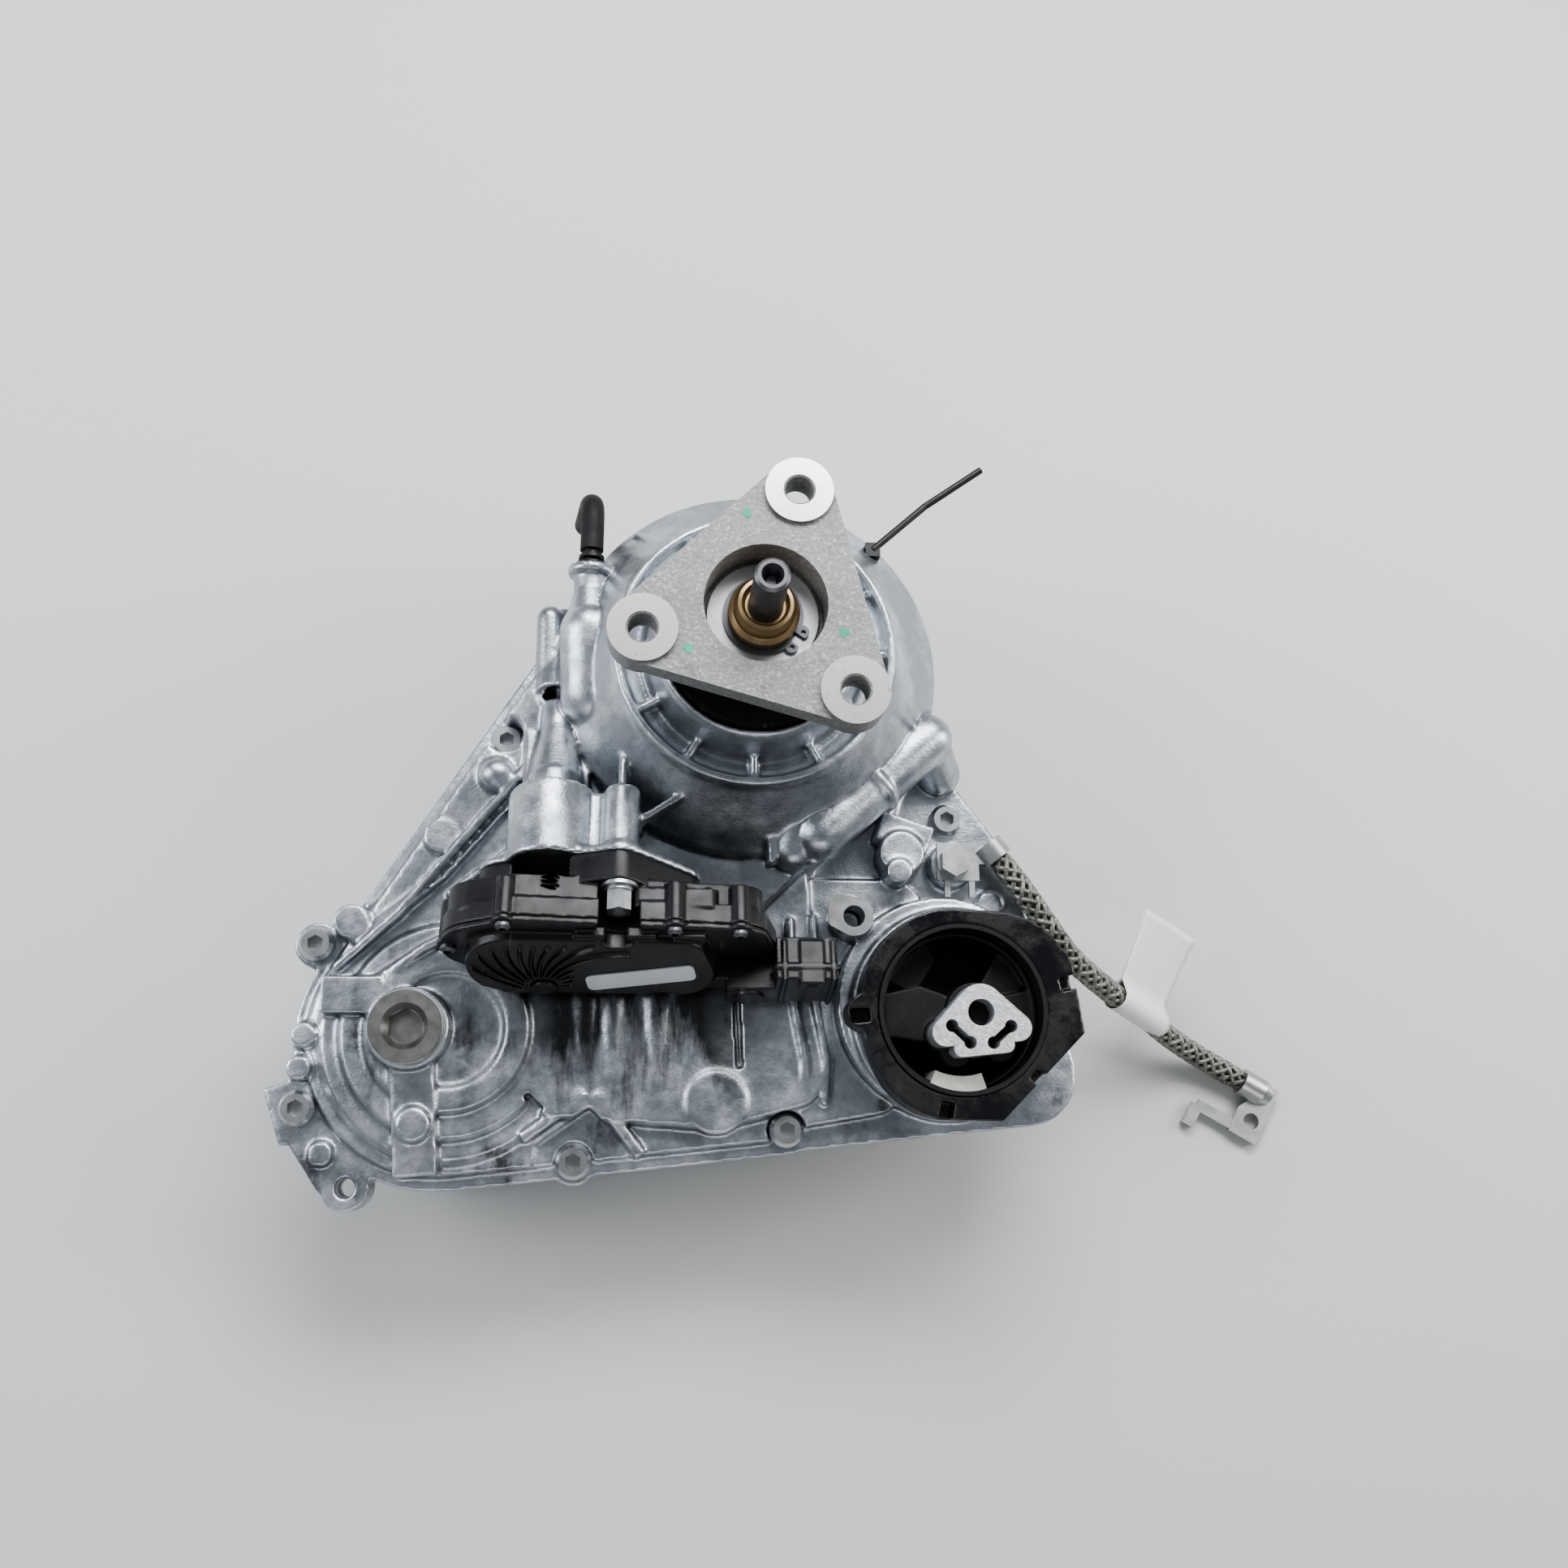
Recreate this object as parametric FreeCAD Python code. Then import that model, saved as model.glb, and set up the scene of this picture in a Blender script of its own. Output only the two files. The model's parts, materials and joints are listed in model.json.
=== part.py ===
import FreeCAD, Part
import math
import os

# Chain-driven all-wheel-drive transfer case.
#
# Frame: millimetres, origin on the main shaft axis in the face that bolts to the
# gearbox, +Z along the main shaft towards the rear propeller shaft flange.
# The front output shaft lies parallel to it, down and to the left (-X, -Y).

V = FreeCAD.Vector
Z_AXIS = V(0, 0, 1)

# ---- driving dimensions -------------------------------------------------------------

# shaft layout
FRONT_AXIS = (-137.0, -172.0)
PARTING_Z = 72.0
RUNNING_GAP = 0.05
AIR_GAP = 0.3

# casing
WALL = 5.0
MAIN_WALL_R = 89.0
FRONT_WALL_R = 62.0
FRONT_FLOOR_Z = 8.0
FRONT_FLANGE_T = 9.0
REAR_FLANGE_T = 10.0
FLANGE_RIM = 4.0
GEARBOX_FLANGE_R = 102.0
GEARBOX_FLANGE_T = 12.0
GEARBOX_BOLT_PCD = 190.0
GEARBOX_BOLT_COUNT = 8
GEARBOX_HOLE_R = 4.5
CASE_BOLT_HEAD_R = 7.8
CASE_BOLT_HEAD_H = 7.0
CASE_BOLT_R = 4.0
CASE_BOLT_LENGTH = 32.0
CASE_EAR_R = 10.5

# rear dome round the main shaft
DOME_SHOULDER_R = 88.6
DOME_SHOULDER_Z = 112.0
DOME_BASE_R = 92.0
BEAD_R = 62.3
BEAD_Z = 143.0
BEAD_W = 3.0
VALLEY_R = 53.0
VALLEY_Z = 133.0
NECK_R = 47.0
NECK_TOP_Z = 156.0

# front output dome
FRONT_DOME = (-133.0, -168.0)
DOME_STEPS = ((49.0, 90.0), (37.5, 95.0), (26.0, 98.5))
DOME_TOP_Z = 96.0
ROOF_Z = 86.0
WEB_HIGH_Z = 106.0
WEB_LOW_Z = 88.0
LOWER_WALL_Z = 95.0
GALLERY_R = 12.5

# rear output flange
FLANGE_PCD = 105.0
FLANGE_HOLE_R = 6.1
FLANGE_BOSS_R = 14.65
FLANGE_FACE_Z = 200.0
FLANGE_BOSS_H = 15.0
FLANGE_PLATE_T = 11.0
FLANGE_RELIEF = 2.0
FLANGE_PHASE = 74.7
FLANGE_BORE_R = 26.0
HUB_R = 31.0
HUB_BOTTOM_Z = 150.5

# main shaft
PIN_R = 7.3
PIN_SEAT_R = 7.5
PIN_TIP_Z = 228.4
SPLINE_R = 16.0
REAR_JOURNAL_R = 17.5
INPUT_R = 23.0
INPUT_BORE_R = 14.0
INPUT_BORE_L = 34.0
SLEEVE_JOURNAL_R = 20.0
WASHER_Z = 178.0
WASHER_T = 3.0
WASHER_R = 23.8
COLLAR_R = 13.2
COLLAR_FLANGE_R = 15.2
COLLAR_TOP_Z = 197.0
CIRCLIP_T = 1.6
CIRCLIP_R = 17.3

# bearings: (outer radius, width)
REAR_BEARING = (36.0, 17.0)
INPUT_BEARING = (42.0, 15.0)
FRONT_BEARING = (31.0, 14.0)
TAIL_BEARING = (26.0, 10.0)
BEARING_BALLS = 9
NEEDLES = 12

# chain drive
TOOTH_COUNT = 34
CHAIN_PITCH = 9.525
CHAIN_WIDTH = 18.0
CHAIN_Z = 51.0
TOOTH_H = 3.4
PLATE_H = 8.6
PLATE_T = 2.0
CHAIN_LEAVES = 3

# clutch pack
BASKET_R = 62.0
BASKET_T = 3.0
HUB_DRUM_R = 40.0
PLATE_COUNT = 4
DISC_T = 1.6
DISC_GAP = 0.35
PACK_Z = 66.6
SPLINE_TEETH = 18

# adjusting ring, ball ramp and worm drive
WORM_TILT = 16.0
WORM_X = -89.0
WORM_R = 9.2
WORM_ROOT_R = 7.4
WORM_PITCH = 5.0
WORM_LENGTH = 24.0
MOTOR_FACE = (-100.0, 124.0)
RING_TIP_R = 81.2
RING_TEETH = 100
RING_SECTOR = 56.0
RING_T = 5.0
RAMP_BALL_R = 3.2
RAMP_PITCH_R = 46.0
RAMP_BALLS = 5
RAMP_T = 6.0
RAMP_TRAVEL = 20.0
PRESSURE_TRAVEL = 1.4

# actuator, in its own coordinates: x, up along its back, outward from its seat
ACT_SCREWS = [(-131.0, -8.0), (-106.0, 16.0), (-34.0, 13.0), (-6.0, 11.0), (-40.0, -30.0),
              (-112.0, -27.0)]
ACT_BOLT = (WORM_X + 31.0, 12.0)
ACT_RIM = [(-112.0, -10.0, 23.0), (-60.0, -16.0, 18.0), (-6.0, -16.0, 18.0),
           (-6.0, 0.0, 13.0), (-100.0, 4.0, 15.0)]
ACT_CAVITY = [(-108.0, -12.0, 13.5), (-26.0, -17.0, 11.0), (-26.0, -9.0, 6.0)]
ACT_BACK_W = 11.0
ACT_RIM_W = 24.0
ACT_RIM_T = 7.0
ACT_FACE_W = 46.0

# rubber mount
MOUNT = (95.0, -159.0)
MOUNT_TOP_Z = 122.0
MOUNT_SEAT_Z = 105.0
MOUNT_BORE_R = 41.0
SLEEVE_R = 38.0
SLEEVE_T = 2.0
COLLAR_CHAMFER = 92.0
CORE = (101.5, -161.0)
CORE_HOLE_R = 5.9
CORE_SLOT_R = 2.8

# fill plug
FILL_PLUG = (-149.0, -168.0)
PLUG_FACE_R = 16.0
PLUG_TOP_Z = 115.0
PLUG_HEX_AF = 14.0

# earth strap
STRAP_D = 12.0
STRAP_ROUTE = [
    (120.5, -85.0, 93.0),
    (130.0, -97.0, 93.0),
    (143.0, -114.0, 88.0),
    (157.0, -129.0, 78.0),
    (172.0, -138.0, 67.0),
    (188.0, -145.5, 53.0),
    (205.0, -152.0, 39.0),
    (224.0, -162.0, 22.0),
    (243.0, -171.0, 11.0),
    (258.0, -178.5, 7.8),
    (268.0, -184.0, 7.4),
]

# case bolts: places in the flange, all with heads on the rear side
CASE_BOLTS = [
    (-195.0, -129.0), (-198.0, -202.0), (-114.0, -31.0), (97.0, -65.0),
    (19.5, -211.0), (-76.0, -225.0),
]
OPEN_BOSS = (-175.5, -236.0)
OPEN_HOLE_R = 4.3
DOWELS = [(-160.0, -98.0), (84.0, -52.0)]
DOWEL_R = 5.0
REAR_SEAL_R = 38.0
PLUG_THREAD_R = 9.0
INSERT_R = 6.5
EARTH_THREAD_R = 4.0
MOTOR_R = 16.0
WORM_SHAFT_R = 3.0
ACT_BOLT_R = 3.0
DRAIN_PLUG = (-92.0, -180.0)
DRAIN_THREAD_R = 9.0
DRAIN_HEAD_R = 12.5

# breather, cable tie and earth lug
SNOUT_MOUTH = (-76.0, 46.0, 116.0)
SNOUT_BORE_R = 4.0
HOSE_R = 5.5
HOSE_BEND_R = 12.0
TIE_HEAD = (58.0, 60.0, 119.0)
INSERT = (48.5, -116.0)
INSERT_BOSS_Z = 106.0
EARTH_BOLT = (98.0, -88.0)
LUG_Z = 92.0
LUG_T = 3.0

# heights of bearings and seals on the shafts
INPUT_BEARING_Z = 14.0
FRONT_BEARING_Z = 14.0
TAIL_BEARING_Z = 80.0
REAR_BEARING_Z = 112.0
SEAL_H = 8.0

# front output shaft and oil pump
FRONT_SHAFT_R = 18.0
TAIL_JOURNAL_R = 13.0
FRONT_BORE_R = 11.0
FRONT_BORE_L = 30.0
PUMP_H = 7.0
PUMP_BORE_R = 34.0


# ---- small helpers ------------------------------------------------------------------

def disc(x, y, z0, z1, r):
    return Part.makeCylinder(r, z1 - z0, V(x, y, z0), Z_AXIS)


def ring(x, y, z0, z1, r_out, r_in):
    return disc(x, y, z0, z1, r_out).cut(disc(x, y, z0 - 1.0, z1 + 1.0, r_in))


def cone(x, y, z0, z1, r0, r1):
    return Part.makeCone(r0, r1, z1 - z0, V(x, y, z0), Z_AXIS)


def bar(start, end, r):
    axis = V(*end) - V(*start)
    return Part.makeCylinder(r, axis.Length, V(*start), axis)


def taper(start, end, r0, r1):
    axis = V(*end) - V(*start)
    return Part.makeCone(r0, r1, axis.Length, V(*start), axis)


def ball(x, y, z, r):
    return Part.makeSphere(r, V(x, y, z))


def capsule(start, end, r):
    return fuse([bar(start, end, r), ball(*start, r), ball(*end, r)])


def turned(profile, x=0.0, y=0.0):
    """Solid of revolution about a vertical axis from (radius, height) corners."""
    wire = Part.makePolygon([V(r, 0, z) for r, z in profile + profile[:1]])
    solid = Part.Face(wire).revolve(V(0, 0, 0), Z_AXIS, 360)
    solid.translate(V(x, y, 0))
    return solid


def prism(corners, z0, z1):
    wire = Part.makePolygon([V(x, y, z0) for x, y in corners + corners[:1]])
    return Part.Face(wire).extrude(V(0, 0, z1 - z0))


def belt_wire(circles, z):
    """Outline stretched round circles (x, y, r), listed counter-clockwise."""
    count = len(circles)
    normals = []
    for i, (xa, ya, ra) in enumerate(circles):
        xb, yb, rb = circles[(i + 1) % count]
        heading = math.atan2(yb - ya, xb - xa)
        lean = math.acos((ra - rb) / math.hypot(xb - xa, yb - ya))
        normals.append(heading - lean)
    edges = []
    for i, (x, y, r) in enumerate(circles):
        a_in = normals[i - 1]
        a_out = normals[i]
        while a_out < a_in:
            a_out += 2.0 * math.pi
        points = [V(x + r * math.cos(a), y + r * math.sin(a), z)
                  for a in (a_in, 0.5 * (a_in + a_out), a_out)]
        edges.append(Part.Arc(*points).toShape())
        xn, yn, rn = circles[(i + 1) % count]
        edges.append(Part.makeLine(points[2], V(xn + rn * math.cos(normals[i]),
                                                yn + rn * math.sin(normals[i]), z)))
    return Part.Wire(edges)


def belt(circles, z0, z1):
    return Part.Face(belt_wire(circles, z0)).extrude(V(0, 0, z1 - z0))


def drafted_belt(circles, z0, z1, draft):
    """The same outline, drawn in by draft at its top."""
    top = [(x, y, r - draft) for x, y, r in circles]
    return Part.makeLoft([belt_wire(circles, z0), belt_wire(top, z1)], True, True)


def rib(start, end, thickness, z0, z1):
    """Upright wall between two plan points, from z0 up to z1 at each end."""
    (xa, ya), (xb, yb) = start, end
    length = math.hypot(xb - xa, yb - ya)
    nx = -(yb - ya) / length * 0.5 * thickness
    ny = (xb - xa) / length * 0.5 * thickness
    za, zb = z1 if isinstance(z1, tuple) else (z1, z1)
    side = [V(xa + nx, ya + ny, z0), V(xb + nx, yb + ny, z0),
            V(xb + nx, yb + ny, zb), V(xa + nx, ya + ny, za)]
    face = Part.Face(Part.makePolygon(side + side[:1]))
    return face.extrude(V(-2.0 * nx, -2.0 * ny, 0))


def fuse(shapes):
    body = shapes[0]
    if len(shapes) > 1:
        body = body.multiFuse(shapes[1:])
    return body.removeSplitter()


def cut(body, tools):
    for tool in tools:
        body = body.cut(tool)
    return body


def polar(radius, degrees, x=0.0, y=0.0):
    a = math.radians(degrees)
    return x + radius * math.cos(a), y + radius * math.sin(a)


def spread(shape, count, start=0.0, x=0.0, y=0.0, sweep=360.0):
    """Copies of a shape turned about a vertical axis."""
    copies = []
    for i in range(count):
        copy = shape.copy()
        copy.rotate(V(x, y, 0), Z_AXIS, start + i * sweep / count)
        copies.append(copy)
    return copies


def hexagon(x, y, z0, z1, across_flats):
    corner = across_flats / math.sqrt(3.0)
    return prism([polar(corner, 60.0 * k + 30.0, x, y) for k in range(6)], z0, z1)


def on_actuator(shape):
    """From actuator coordinates (x, up, outward) to the case."""
    turn = FreeCAD.Rotation(V(1, 0, 0), 90.0 - WORM_TILT)
    placed = shape.copy()
    placed.Placement = FreeCAD.Placement(V(0, MOTOR_FACE[0], MOTOR_FACE[1]), turn)
    return placed


PARTS = {}


def add(name, shape):
    PARTS[name] = shape


# ---- casing outlines ----------------------------------------------------------------

FX, FY = FRONT_AXIS
MX, MY = MOUNT
WALL_LINE = [(0, 0, MAIN_WALL_R), (FX, FY, FRONT_WALL_R), (18.0, -202.0, 16.0)]
CAVITY_LINE = [(x, y, r - WALL) for x, y, r in WALL_LINE]
FLANGE_LINE = [(0, 0, MAIN_WALL_R + FLANGE_RIM), (FX, FY, FRONT_WALL_R + FLANGE_RIM),
               (18.0, -202.0, 16.0 + FLANGE_RIM)]
FOOT_LINE = [(20.0, -80.0, 30.0), (18.0, -205.0, 16.0), (MX + 38.0, MY - 26.0, 24.0),
             (MX + 20.0, MY + 74.0, 13.0), (60.0, -40.0, 30.0)]


def flange_plate(z0, z1):
    """Joint flange with its bolt ears and the foot that reaches round the mount."""
    pieces = [belt(FLANGE_LINE, z0, z1), belt(FOOT_LINE, z0, z1)]
    pieces += [disc(x, y, z0, z1, CASE_EAR_R) for x, y in CASE_BOLTS]
    pieces.append(disc(*OPEN_BOSS, z0, z1, CASE_EAR_R))
    pieces.append(rib((-205.0, -190.0), (-196.0, -215.0), 20.0, z0, z1))
    pieces.append(rib((-192.0, -212.0), (-178.0, -232.0), 22.0, z0, z1))
    return pieces


def bolt_holes(z0, z1, r):
    return [disc(x, y, z0, z1, r) for x, y in CASE_BOLTS]


# ---- front housing ------------------------------------------------------------------

def front_housing():
    outer = [belt(WALL_LINE, FRONT_FLOOR_Z, PARTING_Z)]
    outer += flange_plate(PARTING_Z - FRONT_FLANGE_T, PARTING_Z)
    outer.append(disc(0, 0, 0, GEARBOX_FLANGE_T, GEARBOX_FLANGE_R))
    outer.append(disc(FX, FY, 0, FRONT_FLOOR_Z + 1.0, FRONT_BEARING[0] + 2 * WALL))
    for k in range(GEARBOX_BOLT_COUNT):
        a = 360.0 / GEARBOX_BOLT_COUNT * k
        outer.append(rib(polar(MAIN_WALL_R - 3.0, a), polar(GEARBOX_FLANGE_R - 2.0, a), 4.0,
                         GEARBOX_FLANGE_T - 2.0, (PARTING_Z - 4.0, 30.0)))
    outer.append(disc(MX, MY, PARTING_Z - 14.0, PARTING_Z, MOUNT_BORE_R + 8.0))
    body = fuse(outer)
    floor = FRONT_FLOOR_Z + WALL
    cavity = belt(CAVITY_LINE, floor, PARTING_Z + 1.0)
    bosses = [disc(0, 0, 0, INPUT_BEARING_Z + INPUT_BEARING[1], INPUT_BEARING[0] + WALL),
              disc(FX, FY, 0, FRONT_BEARING_Z + FRONT_BEARING[1], FRONT_BEARING[0] + WALL)]
    body = fuse([body.cut(cavity)] + bosses)
    tools = [
        disc(0, 0, INPUT_BEARING_Z, 40.0, INPUT_BEARING[0]),
        disc(0, 0, -1.0, INPUT_BEARING_Z + 1.0, INPUT_BEARING[0] - 6.0),
        disc(FX, FY, FRONT_BEARING_Z, 40.0, FRONT_BEARING[0]),
        disc(FX, FY, -1.0, FRONT_BEARING_Z + 1.0, FRONT_BEARING[0] - 4.0),
        disc(MX, MY, PARTING_Z - 20.0, PARTING_Z + 1.0, MOUNT_BORE_R),
        disc(*DRAIN_PLUG, -1.0, 20.0, DRAIN_THREAD_R),
        disc(*DRAIN_PLUG, -1.0, FRONT_FLOOR_Z, DRAIN_HEAD_R + 0.5),
        disc(*OPEN_BOSS, PARTING_Z - 20.0, PARTING_Z + 1.0, OPEN_HOLE_R),
    ]
    tools += bolt_holes(PARTING_Z - 20.0, PARTING_Z + 1.0, CASE_BOLT_R + RUNNING_GAP)
    for k in range(GEARBOX_BOLT_COUNT):
        x, y = polar(0.5 * GEARBOX_BOLT_PCD, 360.0 / GEARBOX_BOLT_COUNT * (k + 0.5))
        tools.append(disc(x, y, -1.0, GEARBOX_FLANGE_T + 1.0, GEARBOX_HOLE_R))
    tools += [disc(x, y, PARTING_Z - 6.0, PARTING_Z + 1.0, DOWEL_R) for x, y in DOWELS]
    return cut(body, tools)


# ---- rear housing -------------------------------------------------------------------

def dome_profile():
    """Outside of the rear dome: shoulder, cone, bead ring, valley and neck."""
    z0 = PARTING_Z
    return [(0, z0), (DOME_BASE_R, z0), (DOME_BASE_R, z0 + REAR_FLANGE_T),
            (DOME_SHOULDER_R, DOME_SHOULDER_Z - 3.0), (DOME_SHOULDER_R - 3.0, DOME_SHOULDER_Z),
            (BEAD_R + BEAD_W, BEAD_Z - 5.0), (BEAD_R + 0.5 * BEAD_W, BEAD_Z),
            (BEAD_R - 0.5 * BEAD_W, BEAD_Z), (BEAD_R - BEAD_W, BEAD_Z - 6.0),
            (VALLEY_R, VALLEY_Z), (NECK_R + 3.0, VALLEY_Z + 2.0), (NECK_R, NECK_TOP_Z - 4.0),
            (NECK_R - 2.0, NECK_TOP_Z), (0, NECK_TOP_Z)]


def dome_ribs():
    """Short radial ribs in the valley and longer ones down the cone."""
    ribs = []
    for k in range(12):
        a = FLANGE_PHASE + 15.0 + 30.0 * k
        ribs.append(rib(polar(NECK_R - 1.0, a), polar(BEAD_R, a), 3.0, VALLEY_Z - 6.0,
                        BEAD_Z - 2.5))
    for k in range(7):
        a = -20.0 + 30.0 * k
        ribs.append(rib(polar(BEAD_R, a), polar(DOME_SHOULDER_R - 2.0, a), 3.0, PARTING_Z + 20.0,
                        (BEAD_Z - 2.0, DOME_SHOULDER_Z + 1.5)))
    return ribs


def motor_pocket():
    """Cast pocket of the adjusting motor with the worm tunnel beyond it."""
    shapes = [
        disc(WORM_X, 0, -36.0, 0, 20.0),
        disc(WORM_X, 0, -46.0, -30.0, 12.5),
        cone(WORM_X, 0, -72.0, -46.0, 8.0, 12.0),
        disc(WORM_X, 0, -92.0, -70.0, 8.0),
        disc(WORM_X, 0, -134.0, -90.0, WORM_R + 3.6),
    ]
    lobes = [(WORM_X - 18.0, -8.0, 14.0), (WORM_X + 55.0, -12.0, 12.0), (*ACT_BOLT, 9.0)]
    shapes.append(belt(lobes, -4.0, 0))
    shapes.append(disc(WORM_X, 0, -4.0, 0, 20.0))
    shapes.append(disc(*ACT_BOLT, -34.0, 0, 8.0))
    return [on_actuator(s) for s in shapes]


def snout():
    """Breather snout: a round-nosed cast tube beside the dome."""
    z = SNOUT_MOUTH[2]
    return [
        capsule((-74.0, -16.0, z - 4.0), (-75.0, 14.0, z), 14.5),
        taper((-75.0, 16.0, z), (-75.5, 33.0, z), 13.0, 8.5),
        bar((-75.5, 30.0, z), (-76.0, 42.0, z), 8.0),
        bar((-76.0, 42.0, z), SNOUT_MOUTH, 11.0),
        capsule((-94.0, -14.0, 100.0), (-95.0, 26.0, 100.0), 6.5),
    ]


def front_dome():
    """Cover over the front output shaft in three ring steps, with plug boss and lugs."""
    x, y = FRONT_DOME
    plug_x, plug_y = FILL_PLUG
    top = DOME_TOP_Z
    (outer, low), (middle, mid_z), (inner, high) = DOME_STEPS
    wall = FRONT_WALL_R - 2.0
    return [
        turned([(0, PARTING_Z), (wall, PARTING_Z), (wall - 1.0, low - 3.0), (wall - 4.0, low),
                (outer, low), (outer - 2.0, mid_z), (middle, mid_z), (middle - 2.0, high),
                (inner, high), (inner - 2.0, top), (0, top)], x, y),
        disc(plug_x, plug_y, PARTING_Z, PLUG_TOP_Z - 8.5, PLUG_FACE_R + 2.0),
        rib((plug_x + 1.5, plug_y - 10.0), (plug_x + 5.5, plug_y - 63.0), 19.0, PARTING_Z,
            (top + 7.0, top + 1.0)),
        rib((-189.0, -153.0), (-163.0, -153.0), 16.0, PARTING_Z, top + 3.0),
        cone(plug_x + 4.0, plug_y - 41.0, top, top + 7.5, 8.5, 7.3),
        disc(-186.5, -221.5, PARTING_Z, low - 4.0, 5.5),
        disc(-197.0, -170.0, PARTING_Z, low, 5.5),
        disc(-198.0, -184.5, PARTING_Z, low, 5.5),
    ]


def sloping_web():
    """Web between the shafts, its top falling from the main dome to the front dome."""
    web = drafted_belt(WALL_LINE[:2], PARTING_Z, 112.0, 6.0)
    run = math.hypot(FX, FY)
    heading = math.degrees(math.atan2(FY, FX))
    blade = Part.makeBox(600, 600, 200, V(-100, -300, 0))
    fall = math.degrees(math.atan2(WEB_HIGH_Z - WEB_LOW_Z, run - 60.0))
    blade.rotate(V(0, 0, 0), V(0, 1, 0), fall)
    blade.rotate(V(0, 0, 0), Z_AXIS, heading)
    blade.translate(V(*polar(50.0, heading), WEB_HIGH_Z))
    return web.cut(blade)


def fin(path, thickness, tops):
    """Upright rib along plan points, each with its own top height."""
    return [rib(path[i], path[i + 1], thickness, PARTING_Z, (tops[i], tops[i + 1]))
            for i in range(len(path) - 1)]


def lower_wall():
    """Raised web below the domes: soft upright folds, pad, notch and a double rib."""
    shapes = [drafted_belt([(-10.0, -60.0, 40.0), (-82.0, -150.0, 24.0), (-86.0, -196.0, 13.0),
                            (-13.0, -199.0, 15.0), (22.0, -188.0, 17.0)],
                           PARTING_Z, LOWER_WALL_Z, 4.0)]
    for x, foot in ((-73.0, -178.0), (-61.0, -182.0), (-41.0, -190.0)):
        shapes.append(capsule((x, -146.0, LOWER_WALL_Z - 4.5), (x + 1.0, foot, LOWER_WALL_Z - 7.0),
                              7.5))
    shapes.append(disc(-13.0, -199.0, PARTING_Z, LOWER_WALL_Z + 1.5, 14.0))
    shapes += fin([(20.0, -116.0), (21.0, -151.0), (27.0, -181.0), (27.0, -198.0)], 3.4,
                  (100.0, 99.0, 97.0, 95.0))
    shapes += fin([(31.0, -114.0), (31.0, -151.0), (37.0, -181.0), (36.0, -200.0)], 3.4,
                  (100.0, 99.0, 97.0, 93.0))
    shapes += fin([(-72.0, -196.0), (-99.0, -215.0)], 5.0, (LOWER_WALL_Z + 1.0, 92.0))
    shapes += fin([(-67.0, -196.0), (-46.0, -222.0)], 5.0, (LOWER_WALL_Z + 1.0, 92.0))
    return shapes


def lower_recesses():
    """Three-cornered recess over the lowest bolt and grooves of the lower wall."""
    z1 = LOWER_WALL_Z + 10.0
    return [
        prism([(-69.5, -201.0), (-93.0, -217.5), (-95.0, -232.0), (-46.0, -232.0),
               (-47.5, -224.0)], ROOF_Z - 2.0, z1),
        rib((-4.5, -150.0), (-2.5, -184.0), 3.4, LOWER_WALL_Z - 3.0, z1),
        rib((-98.0, -196.0), (-90.0, -203.0), 3.0, LOWER_WALL_Z - 5.0, z1),
    ]


def bank(edges, crest):
    """Sloping cast bank between plan points at its foot and at its crest (x, y, z)."""
    sections = []
    for (ex, ey), (cx, cy, cz) in zip(edges, crest):
        corners = [V(ex, ey, PARTING_Z), V(cx, cy, PARTING_Z), V(cx, cy, cz),
                   V(ex, ey, ROOF_Z - 2.0)]
        sections.append(Part.makePolygon(corners + corners[:1]))
    return [Part.makeLoft(sections[i:i + 2], True, True) for i in range(len(sections) - 1)]


def flank_ribs():
    """Bank and ribs along the flank from the main dome to the front dome."""
    shapes = bank([(-99.0, -30.0), (-150.0, -92.0), (-186.0, -124.0)],
                  [(-84.0, -36.0, 104.0), (-138.0, -100.0, 99.0), (-174.0, -131.0, 94.0)])
    shapes += fin([(-88.0, -30.0), (-124.0, -74.0), (-157.0, -115.0), (-185.0, -141.0)], 3.6,
                  (105.0, 103.0, 99.0, 94.0))
    shapes += fin([(-98.0, -104.0), (-121.0, -120.0), (-145.0, -132.0), (-166.0, -147.0)], 3.6,
                  (100.5, 103.5, 102.0, 97.0))
    shapes += fin([(-76.0, -58.0), (-104.0, -84.0), (-136.0, -108.0)], 3.4,
                  (110.0, 107.0, 101.0))
    shapes.append(disc(-141.0, -79.5, PARTING_Z, 96.0, 8.0))
    shapes.append(disc(-179.5, -119.0, PARTING_Z, 92.0, 8.0))
    shapes.append(capsule((-116.5, -51.0, PARTING_Z + 10.0), (-116.5, -51.0, 97.0), 9.0))
    return shapes


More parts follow.
